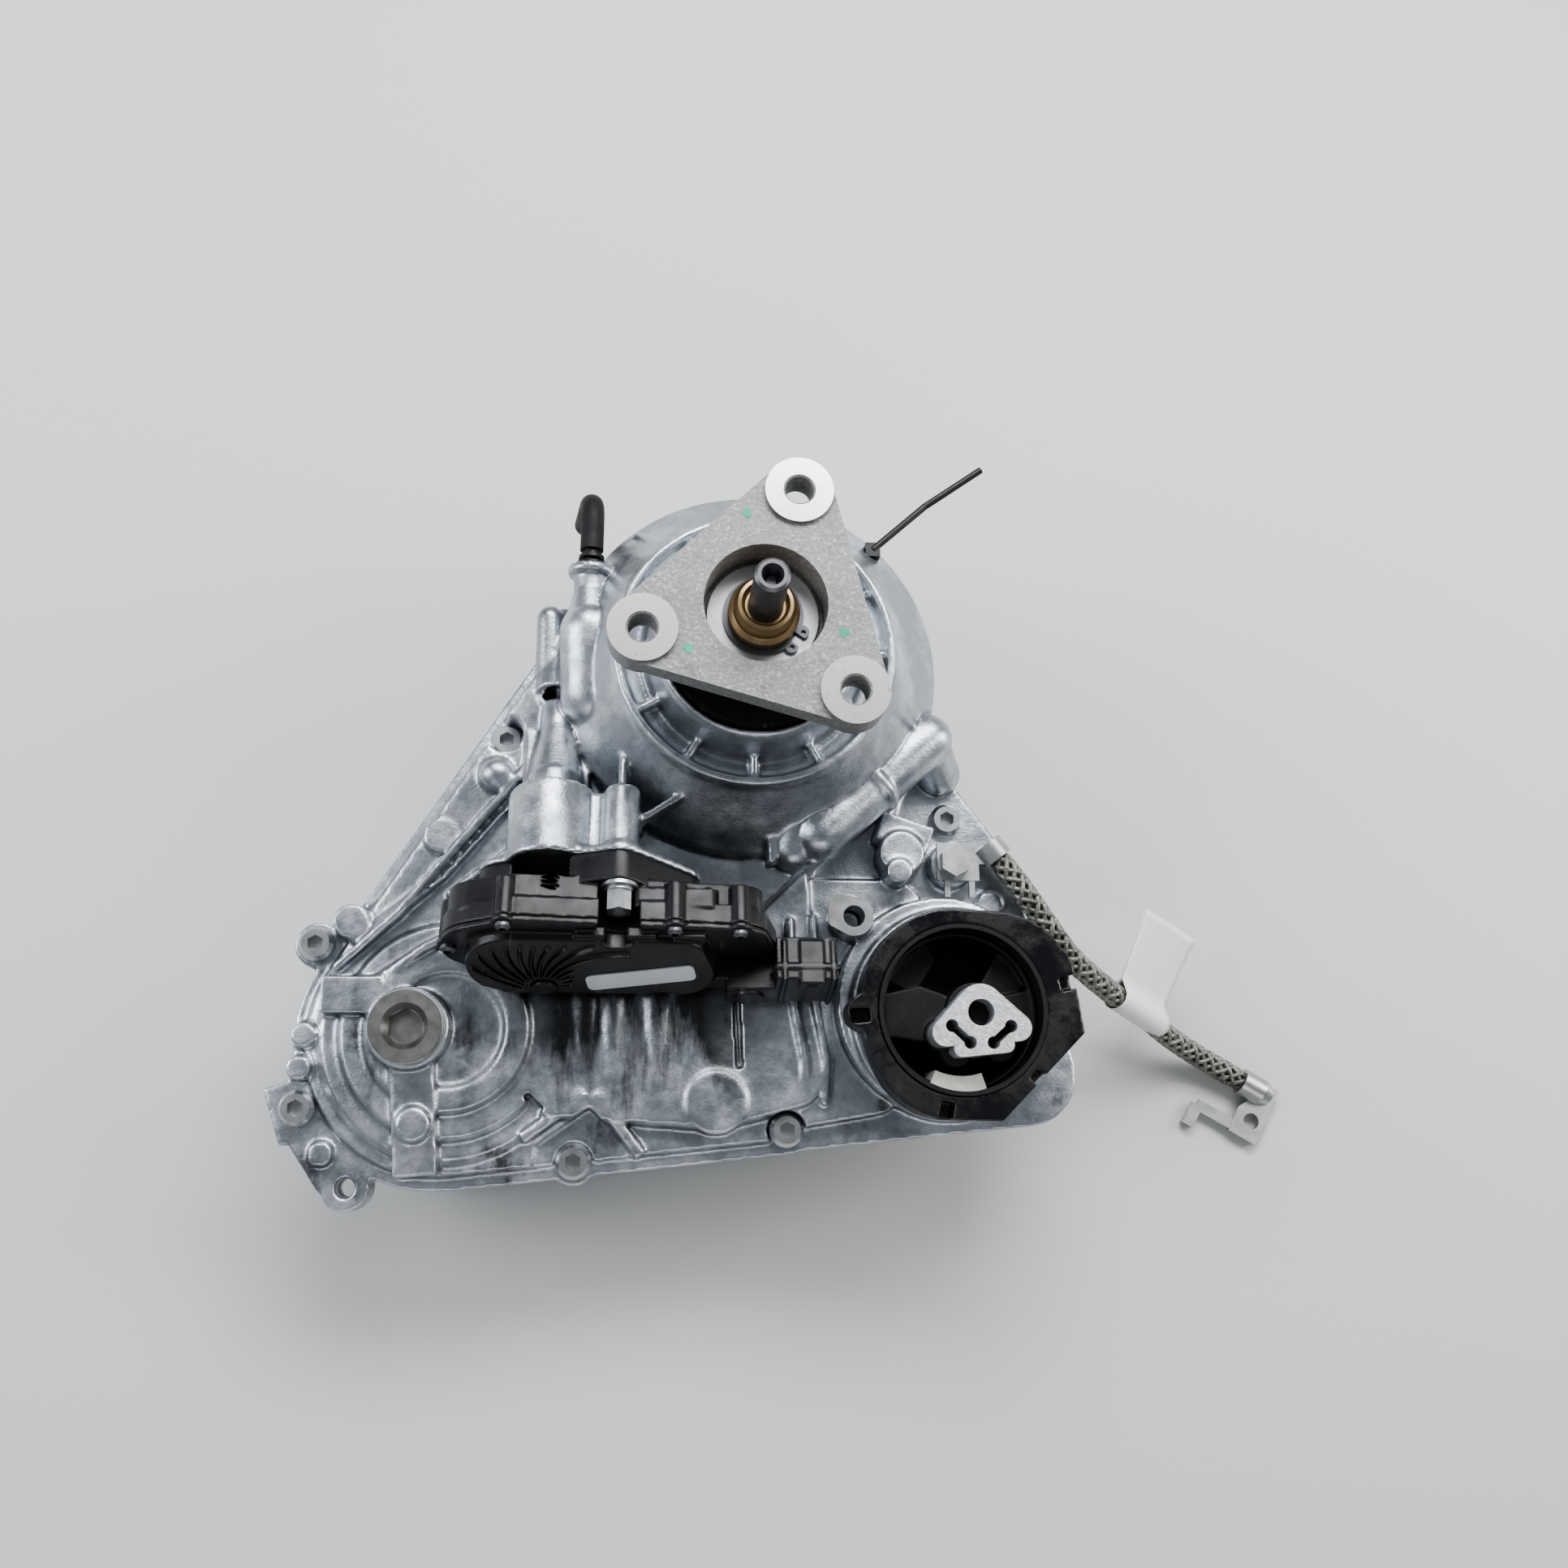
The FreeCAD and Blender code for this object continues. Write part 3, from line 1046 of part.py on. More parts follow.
WORM_MESH_W = MOTOR_FACE[0] / math.cos(math.radians(WORM_TILT))


def worm_shaft():
    """Motor shaft with the worm cut on it; it stands clear of the ring's tooth tips."""
    shaft = disc(WORM_X, 0, -127.0, -5.0, WORM_SHAFT_R)
    w0 = WORM_MESH_W - 0.5 * WORM_LENGTH
    root = disc(WORM_X, 0, w0, w0 + WORM_LENGTH, WORM_ROOT_R - 1.0)
    threads = []
    turns = int(WORM_LENGTH / WORM_PITCH)
    for i in range(turns):
        z = w0 + 1.4 + WORM_PITCH * i
        profile = [(0, z), (WORM_ROOT_R - 1.0, z), (WORM_ROOT_R, z + 0.9),
                   (WORM_ROOT_R, z + 2.0), (WORM_ROOT_R - 1.0, z + 2.9), (0, z + 2.9)]
        threads.append(turned(profile, WORM_X, 0))
    return on_actuator(fuse([shaft, root] + threads))


def motor():
    """Adjusting motor: can with its bearing nose, bored for the shaft."""
    can = disc(WORM_X, 0, -31.0, -1.0, MOTOR_R)
    bore = disc(WORM_X, 0, -32.0, -3.0, WORM_SHAFT_R + RUNNING_GAP)
    return on_actuator(can.cut(bore))


# ---- actuator -----------------------------------------------------------------------

def grown(circles, margin):
    return [(x, y, r + margin) for x, y, r in circles]


def actuator_housing():
    """Moulded housing: motor register, fixing lobe and the rim its cover screws to."""
    lobes = [(WORM_X - 18.0, -8.0, 13.5), (WORM_X + 55.0, -12.0, 11.5), (*ACT_BOLT, 9.0)]
    lobe = belt(lobes, AIR_GAP, 14.0)
    back = belt([(-116.0, -4.0, 16.0), (-96.0, -12.0, 15.0), (-8.0, -12.0, 14.0),
                 (-4.0, 1.0, 9.0), (-100.0, 3.0, 15.0)], ACT_BACK_W, ACT_RIM_W)
    rim = belt(ACT_RIM, ACT_RIM_W - 2.0, ACT_RIM_W + ACT_RIM_T)
    posts = [disc(x, u, 13.0, ACT_RIM_W + ACT_RIM_T, 4.4) for x, u in ACT_SCREWS]
    body = fuse([lobe, back, rim] + posts)
    tools = [disc(x, u, 16.0, ACT_RIM_W + ACT_RIM_T + 20.0, 1.9) for x, u in ACT_SCREWS]
    tools.append(disc(*ACT_BOLT, -1.0, 60.0, ACT_BOLT_R + 0.2))
    tools.append(disc(*ACT_BOLT, 14.0, 60.0, 9.5))
    tools.append(disc(WORM_X, 0, -1.0, 18.0, MOTOR_R + 1.0))
    tools.append(belt(ACT_CAVITY, 19.0, ACT_RIM_W + ACT_RIM_T + 1.0))
    return on_actuator(cut(body, tools))


def cover_dome(margin):
    """Raised middle of the cover, grown by a margin where other pieces must clear it."""
    outline = [(-104.0, -12.0, 20.5), (-30.0, -17.0, 15.5), (-30.0, -4.0, 11.0)]
    return drafted_belt(grown(outline, margin), ACT_RIM_W + ACT_RIM_T + 2.0, ACT_FACE_W + margin,
                        2.0)


def actuator_cover():
    """Cover with the cooling fins fanned round its motor end."""
    w0 = ACT_RIM_W + ACT_RIM_T
    plate = belt(ACT_RIM, w0, w0 + 3.0)
    dome = cover_dome(0.0)
    ears = [disc(x, u, w0, w0 + 3.0, 5.0) for x, u in ACT_SCREWS]
    body = fuse([plate, dome] + ears)
    slots = []
    for k in range(10):
        a = 20.0 + 16.0 * k
        slots.append(rib(polar(9.0, a, -92.0, -24.0), polar(30.0, a, -92.0, -24.0), 3.0,
                         ACT_FACE_W - 3.5, ACT_FACE_W + 2.0))
    tools = slots + [disc(x, u, w0 - 1.0, w0 + 4.0, 1.9) for x, u in ACT_SCREWS]
    tools += [disc(x, u, w0 + 3.0, 80.0, 4.2) for x, u in ACT_SCREWS]
    tools.append(disc(*ACT_BOLT, w0 - 1.0, 80.0, 9.5))
    tools.append(belt(grown(ACT_CAVITY, -1.5), w0 - 1.0, ACT_FACE_W - 5.0))
    return on_actuator(cut(body, tools))


def actuator_connector():
    """Plug sockets at the cover's right end: one block for the harness, one for the motor."""
    w0 = ACT_RIM_W + ACT_RIM_T + 3.0
    block = Part.makeBox(27.0, 26.0, 20.0, V(11.0, -32.0, w0 - 6.0))
    low = Part.makeBox(22.0, 16.0, 14.0, V(-10.0, -34.0, w0))
    bridge = Part.makeBox(34.0, 12.0, 9.0, V(-20.0, -30.0, w0))
    mouth = Part.makeBox(19.0, 18.0, 14.0, V(20.0, -28.0, w0 - 2.0))
    body = fuse([block, low, bridge]).cut(mouth)
    ears = [disc(x, u, w0 - 4.0, w0 + 4.0, 5.4) for x, u in ACT_SCREWS]
    rim = belt(grown(ACT_RIM, AIR_GAP), 0, w0)
    return on_actuator(cut(body, ears + [rim, cover_dome(AIR_GAP)]))


def actuator_screws():
    w = ACT_RIM_W + ACT_RIM_T + 3.0
    return Part.makeCompound([
        on_actuator(socket_bolt(x, u, w, 3.4, 2.8, 1.75, w - 17.0, 1.8)) for x, u in ACT_SCREWS])


def actuator_bolt():
    """Fixing bolt with its washer face and outside star head."""
    x, u = ACT_BOLT
    washer = disc(x, u, 14.0, 15.6, 8.4)
    neck = disc(x, u, 15.0, 17.0, 6.4)
    star = prism([polar(5.9 if k % 2 else 4.9, 30.0 * k, x, u) for k in range(12)], 16.5, 26.0)
    shank = disc(x, u, -20.0, 14.5, ACT_BOLT_R)
    return on_actuator(fuse([washer, neck, star, shank]).cut(disc(x, u, 24.0, 27.0, 3.2)))


def control_board():
    w0 = ACT_RIM_W
    board = belt(grown(ACT_CAVITY, -2.0), w0, w0 + 1.6)
    chips = [Part.makeBox(12.0, 10.0, 3.0, V(x, -17.0, w0 + 1.5)) for x in (-96.0, -74.0, -52.0)]
    posts = [disc(x, -12.0, 19.0, w0 + 0.5, 2.5) for x in (-112.0, -32.0)]
    return on_actuator(fuse([board] + chips + posts))


# ---- plugs, breather and small fittings ---------------------------------------------

def screw_plug(x, y, seat_z, face_r, height, thread_r, depth):
    body = turned([(0, seat_z - depth), (thread_r, seat_z - depth), (thread_r, seat_z),
                   (face_r, seat_z), (face_r, seat_z + 0.35 * height),
                   (face_r - 1.5, seat_z + 0.45 * height), (face_r - 1.5, seat_z + 0.55 * height),
                   (face_r - 0.3, seat_z + 0.62 * height), (face_r - 0.3, seat_z + height),
                   (0, seat_z + height)], x, y)
    body = body.cut(hexagon(x, y, seat_z, seat_z + height + 1.0, PLUG_HEX_AF))
    return body.cut(cone(x, y, seat_z + height - 3.0, seat_z + height + 0.5, 7.6, 10.5))


def fill_plug():
    return screw_plug(*FILL_PLUG, PLUG_TOP_Z - 7.0, PLUG_FACE_R, 7.0,
                      PLUG_THREAD_R - RUNNING_GAP, 16.0)


def fill_plug_washer():
    z = PLUG_TOP_Z - 7.0
    return ring(*FILL_PLUG, z - 1.5, z, PLUG_FACE_R + 1.0, PLUG_THREAD_R)


def drain_plug():
    """Flush hexagon-socket plug in the floor of the front housing."""
    x, y = DRAIN_PLUG
    r = DRAIN_THREAD_R - RUNNING_GAP
    head = disc(x, y, FRONT_FLOOR_Z - 3.5, FRONT_FLOOR_Z, DRAIN_HEAD_R)
    body = fuse([head, disc(x, y, FRONT_FLOOR_Z - 1.0, FRONT_FLOOR_Z + WALL + 2.0, r)])
    return body.cut(hexagon(x, y, FRONT_FLOOR_Z - 5.0, FRONT_FLOOR_Z + 1.5, 10.0))


def pipe(route, radii, r):
    """Round bar along straight runs joined by tangent arcs."""
    points = [V(*p) for p in route]
    edges = []
    here = points[0]
    for i in range(1, len(points) - 1):
        back = (points[i - 1] - points[i]).normalize()
        ahead = (points[i + 1] - points[i]).normalize()
        half_turn = 0.5 * (math.pi - back.getAngle(ahead))
        trim = radii[i - 1] * math.tan(half_turn)
        start = points[i] + back * trim
        end = points[i] + ahead * trim
        inward = (back + ahead).normalize()
        centre = points[i] + inward * (radii[i - 1] / math.cos(half_turn))
        middle = centre - inward * radii[i - 1]
        edges.append(Part.LineSegment(here, start).toShape())
        edges.append(Part.Arc(start, middle, end).toShape())
        here = end
    edges.append(Part.LineSegment(here, points[-1]).toShape())
    path = Part.Wire(edges)
    section = Part.Wire([Part.makeCircle(r, points[0], points[1] - points[0])])
    return path.makePipeShell([section], True, False), path.Length


def corner_radii(route):
    """Largest arcs that the runs allow: 0.45 of the shorter run at each corner."""
    points = [V(*p) for p in route]
    radii = []
    for i in range(1, len(points) - 1):
        back = points[i - 1] - points[i]
        ahead = points[i + 1] - points[i]
        half_turn = 0.5 * (math.pi - back.getAngle(ahead))
        radii.append(0.45 * min(back.Length, ahead.Length) / math.tan(half_turn))
    return radii


def breather_fitting():
    x, y, z = SNOUT_MOUTH
    return fuse([bar((x, y - 12.0, z), (x, y + 9.0, z), 3.9),
                 bar((x, y, z), (x, y + 2.0, z), 7.5), bar((x, y + 4.5, z), (x, y + 6.0, z), 6.0)])


def breather_hose():
    """Moulded rubber elbow that rises from the fitting and turns down behind it."""
    x, y, z = SNOUT_MOUTH
    start = (x, y + 9.1, z)
    route = [start, (x, y + 36.0, z), (x - 5.0, y + 38.0, z - 36.0)]
    tube, length = pipe(route, [HOSE_BEND_R], HOSE_R)
    return tube


def tie_head():
    x, y, z = TIE_HEAD
    return Part.makeBox(7.0, 7.0, 5.0, V(x - 3.5, y - 3.5, z - 4.0))


def cable_tie():
    """Strap whose tail stands away from the back of the dome; its head sits in a cast notch."""
    mid = (84.0, 84.0, 118.5)
    end = (112.0, 104.0, 120.0)
    return fuse([tie_head(), bar(TIE_HEAD, mid, 1.7), ball(*mid, 1.7), bar(mid, end, 1.7)])


# ---- rubber mount -------------------------------------------------------------------

def mount_sleeve():
    return ring(MX, MY, PARTING_Z - 8.0, MOUNT_TOP_Z + 1.0, SLEEVE_R, SLEEVE_R - SLEEVE_T)


def mount_collar():
    """Moulded outer body of the mount: neck in the carrier, thick eared rim above it."""
    inner = SLEEVE_R + RUNNING_GAP
    neck = disc(MX, MY, PARTING_Z - 8.0, MOUNT_SEAT_Z + 1.0, MOUNT_BORE_R - RUNNING_GAP)
    rim = [belt([(MX - 3.0, MY + 2.0, 43.0), (MX - 6.0, MY - 12.0, 36.0),
                 (MX + 19.0, MY - 13.0, 36.0), (MX + 16.0, MY + 8.0, 36.0)],
                MOUNT_SEAT_Z, MOUNT_TOP_Z)]
    rim.append(disc(*polar(43.0, 24.0, MX, MY), MOUNT_SEAT_Z, MOUNT_TOP_Z, 12.0))
    rim.append(disc(*polar(44.0, 182.0, MX, MY), MOUNT_SEAT_Z, MOUNT_TOP_Z, 8.0))
    body = fuse([neck] + rim)
    chamfer = rib(polar(COLLAR_CHAMFER, 315.0 - 60.0, MX, MY),
                  polar(COLLAR_CHAMFER, 315.0 + 60.0, MX, MY), 40.0, MOUNT_SEAT_Z, MOUNT_TOP_Z)
    chamfer.translate(V(*polar(20.0, 315.0), 0))
    tools = [disc(MX, MY, 0, 200, inner), chamfer]
    for a, depth in ((14.0, 46.0), (184.0, 42.0), (259.0, 41.0), (318.0, 41.5)):
        tools.append(rib(polar(depth, a, MX, MY), polar(depth + 9.0, a, MX, MY), 6.0,
                         MOUNT_TOP_Z - 8.0, MOUNT_TOP_Z + 1.0))
    return cut(body, tools)


def core_outline(grow=0.0):
    """Hat-shaped section of the core: eye on top, shoulders, narrower foot."""
    cx, cy = CORE
    return [belt([(cx, cy + 2.0, 10.5 + grow), (cx - 16.0, cy - 9.0, 6.0 + grow),
                  (cx + 16.5, cy - 6.5, 6.0 + grow)], 0, 1.0),
            belt([(cx - 9.0, cy - 16.0, 3.5 + grow), (cx + 11.0, cy - 14.0, 3.5 + grow),
                  (cx, cy, 8.0 + grow)], 0, 1.0)]


def mount_core():
    cx, cy = CORE
    z0, z1 = PARTING_Z + 4.0, MOUNT_TOP_Z + 6.0
    section = fuse(core_outline())
    face = [f for f in section.Faces if abs(f.CenterOfMass.z) < 1e-6][0]
    body = face.extrude(V(0, 0, z1 - z0))
    body.translate(V(0, 0, z0))
    tools = [disc(cx, cy, z0 - 1.0, z1 + 1.0, CORE_HOLE_R)]
    for side in (-1.0, 1.0):
        top = (cx + side * 13.2, cy - 6.0)
        foot = (cx + side * 5.2, cy - 13.2)
        tools.append(disc(*top, z0 - 1.0, z1 + 1.0, CORE_SLOT_R))
        tools.append(disc(*foot, z0 - 1.0, z1 + 1.0, CORE_SLOT_R))
        tools.append(rib(top, foot, 1.3 * CORE_SLOT_R, z0 - 1.0, z1 + 1.0))
    return cut(body, tools)


def mount_rubber():
    """Rubber arms that hold the core, with a bumper above and below."""
    cx, cy = CORE
    z0, z1 = PARTING_Z + 6.0, MOUNT_TOP_Z - 4.0
    arms = [rib((cx - 5.0, cy - 6.0), (MX - 40.0, MY - 6.0), 17.0, z0, z1),
            rib((cx + 5.0, cy - 4.0), (MX + 40.0, MY + 4.0), 16.0, z0, z1),
            rib((MX - 12.0, MY + 26.0), (MX - 14.0, MY + 40.0), 22.0, z0, z1 - 6.0),
            rib((MX - 40.0, MY - 2.0), (MX - 18.0, MY + 34.0), 12.0, z0, z1 - 6.0),
            belt([(cx, cy + 2.0, 12.5), (cx - 16.0, cy - 9.0, 8.0), (cx + 16.5, cy - 6.5, 8.0)],
                 z0, z1)]
    body = fuse(arms).common(disc(MX, MY, z0 - 1.0, z1 + 1.0, SLEEVE_R - SLEEVE_T - RUNNING_GAP))
    hole = fuse(core_outline(RUNNING_GAP))
    face = [f for f in hole.Faces if abs(f.CenterOfMass.z) < 1e-6][0]
    core = face.extrude(V(0, 0, 200.0))
    return body.cut(core)


def mount_stop():
    """Pale stop strip that lies in the bottom of the sleeve."""
    z0 = PARTING_Z + 8.0
    inner = SLEEVE_R - SLEEVE_T - RUNNING_GAP
    band = ring(MX, MY, z0, MOUNT_TOP_Z - 8.0, inner, inner - 7.0)
    wedge = prism([(MX, MY), polar(90.0, 246.0, MX, MY), polar(90.0, 288.0, MX, MY)],
                  z0 - 1.0, MOUNT_TOP_Z)
    return band.common(wedge)


# ---- earth strap --------------------------------------------------------------------

def threaded_insert():
    """Clip nut seated on its boss beside the mount."""
    (x, y), z = INSERT, INSERT_BOSS_Z
    clip = belt([(x, y, 9.0), (x - 7.0, y + 5.0, 5.0), (x - 9.0, y - 2.0, 3.0)], z, z + 2.0)
    barrel = disc(x, y, z - 12.0, z + 1.0, INSERT_R - RUNNING_GAP)
    return fuse([clip, barrel]).cut(disc(x, y, z - 20.0, z + 5.0, 5.0))


def earth_lug():
    """Plate lug of the strap: square pad, two bent prongs, barrel for the braid."""
    x, y = EARTH_BOLT
    z = LUG_Z
    pad = Part.makeBox(20.0, 18.0, LUG_T, V(x - 7.5, y - 8.0, z))
    prongs = [Part.makeBox(2.6, 10.0, 2.6, V(x + dx, y - 16.0, z)) for dx in (-4.1, 7.7)]
    neck = Part.makeBox(8.0, 9.0, LUG_T, V(x + 9.0, y, z))
    start = V(*STRAP_ROUTE[0])
    ahead = (V(*STRAP_ROUTE[1]) - start).normalize()
    barrel = Part.makeCylinder(7.6, 9.0, start - ahead * 9.0, ahead)
    barrel = barrel.cut(Part.makeCylinder(2.0, 4.0, start - ahead * 4.0, ahead))
    return fuse([pad, neck, barrel] + prongs).cut(disc(x, y, z - 1.0, z + 9.0, 4.2))


def earth_bolt():
    x, y = EARTH_BOLT
    z = LUG_Z + LUG_T
    head = hexagon(x, y, z + 1.5, z + 7.5, 13.0)
    collar = disc(x, y, z, z + 1.5, 7.6)
    shank = disc(x, y, z - 13.0, z + 1.0, EARTH_THREAD_R - RUNNING_GAP)
    return fuse([head, collar, shank])


def strap_braid():
    radii = corner_radii(STRAP_ROUTE)
    tube, length = pipe(STRAP_ROUTE, radii, 0.5 * STRAP_D)
    section = math.pi * (0.5 * STRAP_D) ** 2
    print("strap length", round(length, 1), "volume ratio",
          round(tube.Volume / (section * length), 4))
    print("strap radii", [round(r) for r in radii])
    return tube


def strap_end():
    """Crimped far lug: barrel, rounded nose, flat eye plate with a bent arm."""
    tip = V(*STRAP_ROUTE[-1])
    ahead = (tip - V(*STRAP_ROUTE[-2])).normalize()
    flat = V(ahead.x, ahead.y, 0).normalize()
    barrel = Part.makeCylinder(7.0, 12.0, tip, ahead)
    nose_at = tip + ahead * 12.0
    nose = Part.makeCone(7.0, 5.0, 5.0, nose_at, ahead)
    across = V(-flat.y, flat.x, 0)
    neck_end = nose_at + flat * 9.0
    plate_at = neck_end + across * (-16.0)
    corners = [nose_at + across * 4.0, neck_end + across * 6.0, neck_end - across * 26.0,
               neck_end - across * 26.0 - flat * 16.0, neck_end - across * 12.0 - flat * 16.0,
               nose_at - across * 4.0 - flat * 2.0]
    plate = prism([(c.x, c.y) for c in corners], 3.0, 6.0)
    arm_root = neck_end - across * 22.0 - flat * 14.0
    arm = rib((arm_root.x, arm_root.y), tuple(arm_root - flat * 22.0)[:2], 6.0, 3.0, 5.6)
    tab_at = arm_root - flat * 22.0
    tab = rib((tab_at.x, tab_at.y), tuple(tab_at - across * 12.0)[:2], 6.0, 3.0, 5.6)
    foot = rib(tuple(tab_at - across * 9.0)[:2], tuple(tab_at - across * 12.0)[:2], 6.0, 0.0, 5.0)
    heel = rib(tuple(neck_end)[:2], tuple(neck_end - across * 24.0)[:2], 4.0, 0.0, 4.0)
    hole = disc(plate_at.x - 7.0 * flat.x, plate_at.y - 7.0 * flat.y, 0.0, 9.0, 4.2)
    return fuse([barrel, nose, plate, arm, tab, foot, heel]).cut(hole)


def strap_label():
    """Folded paper flag round the strap."""
    a, b = V(*STRAP_ROUTE[5]), V(*STRAP_ROUTE[6])
    ahead = (b - a).normalize()
    across = V(0, 0, 1).cross(ahead).normalize()
    up = ahead.cross(across)
    middle = (a + b) * 0.5
    sleeve = Part.makeCylinder(0.5 * STRAP_D + 1.0, 8.0, middle - ahead * 4.0, ahead)
    sleeve = sleeve.cut(Part.makeCylinder(0.5 * STRAP_D + 0.15, 10.0, middle - ahead * 5.0, ahead))
    low = 0.5 * STRAP_D + 0.6
    corners = [middle - ahead * 4.0 + across * low, middle + ahead * 4.0 + across * low,
               middle + ahead * 12.0 + across * (low + 6.0),
               middle + ahead * 14.0 + across * (low + 34.0),
               middle - ahead * 10.0 + across * (low + 34.0),
               middle - ahead * 10.0 + across * (low + 6.0)]
    corners = [c + up * 0.3 for c in corners]
    flag = Part.Face(Part.makePolygon(corners + corners[:1])).extrude(up * 0.8)
    return fuse([sleeve, flag])


# ---- assembly -----------------------------------------------------------------------

add("front_housing", front_housing())
add("rear_housing", rear_housing())
add("case_bolts", case_bolts())
add("dowel_sleeves", dowel_sleeves())

for tag, x, y, z, size, shaft_r in (
        ("rear", 0, 0, REAR_BEARING_Z, REAR_BEARING, REAR_JOURNAL_R),
        ("front_output", FX, FY, FRONT_BEARING_Z, FRONT_BEARING, FRONT_SHAFT_R)):
    outer, inner = ball_bearing(x, y, z, size, shaft_r)
    add(tag + "_bearing_outer", outer)
    add(tag + "_bearing_inner", inner)
add("input_bearing", needle_bearing(0, 0, INPUT_BEARING_Z, INPUT_BEARING, INPUT_R))
add("tail_bearing", needle_bearing(FX, FY, TAIL_BEARING_Z, TAIL_BEARING, TAIL_JOURNAL_R))

add("input_seal", lip_seal(0, 0, 3.0, 3.0 + SEAL_H, INPUT_BEARING[0] - 6.0, INPUT_R))
add("front_output_seal", lip_seal(FX, FY, 4.0, 4.0 + SEAL_H, FRONT_BEARING[0] - 4.0,
                                  FRONT_SHAFT_R))
add("rear_seal", lip_seal(0, 0, NECK_TOP_Z - 22.0, NECK_TOP_Z - 8.0, REAR_SEAL_R,
                          REAR_JOURNAL_R))

SHAPES = (
    main_shaft, clutch_hub, inner_discs, outer_discs, clutch_basket, rear_output_flange,
    centring_collar, flange_washer, flange_circlip, dust_shield, drive_sprocket,
    sprocket_needle_sleeve, driven_sprocket, drive_chain, front_output_shaft,
    oil_pump_body, oil_pump_rotor, pressure_plate, thrust_bearing, adjusting_ring, ramp_plate,
    ramp_balls, worm_shaft, motor, actuator_housing, actuator_cover,
    actuator_connector, actuator_screws, actuator_bolt, control_board, fill_plug,
    fill_plug_washer, drain_plug, breather_fitting, breather_hose, cable_tie, mount_sleeve,
    mount_collar, mount_core, mount_rubber, mount_stop, threaded_insert, earth_lug, earth_bolt,
    strap_braid, strap_end, strap_label)
for make in SHAPES:
    add(make.__name__, make())

os.makedirs("parts", exist_ok=True)
for name, shape in PARTS.items():
    if not shape.isValid():
        print("not valid:", name)
    shape.exportStep("parts/" + name + ".step")
print(len(PARTS), "nodes")
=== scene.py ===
import json
import math

import bmesh
import bpy
from mathutils import Matrix, Vector


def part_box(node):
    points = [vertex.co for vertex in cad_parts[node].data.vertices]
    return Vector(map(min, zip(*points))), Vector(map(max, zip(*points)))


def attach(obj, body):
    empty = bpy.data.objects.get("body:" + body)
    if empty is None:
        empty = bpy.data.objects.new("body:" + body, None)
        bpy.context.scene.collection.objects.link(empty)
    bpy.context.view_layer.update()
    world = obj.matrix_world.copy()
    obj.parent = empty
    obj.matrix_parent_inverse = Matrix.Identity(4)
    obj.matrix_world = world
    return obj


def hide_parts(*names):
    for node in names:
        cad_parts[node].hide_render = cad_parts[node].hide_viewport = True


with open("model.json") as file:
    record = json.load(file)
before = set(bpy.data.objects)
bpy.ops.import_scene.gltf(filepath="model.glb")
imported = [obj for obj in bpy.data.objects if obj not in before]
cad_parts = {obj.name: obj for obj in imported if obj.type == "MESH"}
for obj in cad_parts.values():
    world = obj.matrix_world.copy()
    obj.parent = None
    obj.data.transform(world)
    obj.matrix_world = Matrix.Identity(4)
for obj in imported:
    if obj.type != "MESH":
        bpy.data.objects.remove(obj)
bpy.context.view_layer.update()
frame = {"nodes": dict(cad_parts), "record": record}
nodes = frame["nodes"]


# ---- camera ---------------------------------------------------------------------------

LENS, SENSOR = 33.28, 36.0
CAMERA_AT = (-0.0479, -0.2221, 0.7592)
CAMERA_FORWARD = (0.0949, 0.2482, -0.964)
CAMERA_RIGHT = (0.9952, 0.0, 0.098)


def make_camera():
    """Camera above the case, leaning as the photograph's does."""
    data = bpy.data.cameras.new("camera")
    data.lens = LENS
    data.sensor_width = SENSOR
    data.clip_start = 0.02
    data.dof.use_dof = False
    camera = bpy.data.objects.new("camera", data)
    bpy.context.scene.collection.objects.link(camera)
    forward = Vector(CAMERA_FORWARD).normalized()
    right = Vector(CAMERA_RIGHT)
    right = (right - forward * right.dot(forward)).normalized()
    up = right.cross(forward)
    turn = Matrix((right, up, -forward)).transposed()
    camera.matrix_world = Matrix.Translation(CAMERA_AT) @ turn.to_4x4()
    bpy.context.scene.camera = camera


make_camera()


# ---- material nodes -------------------------------------------------------------------

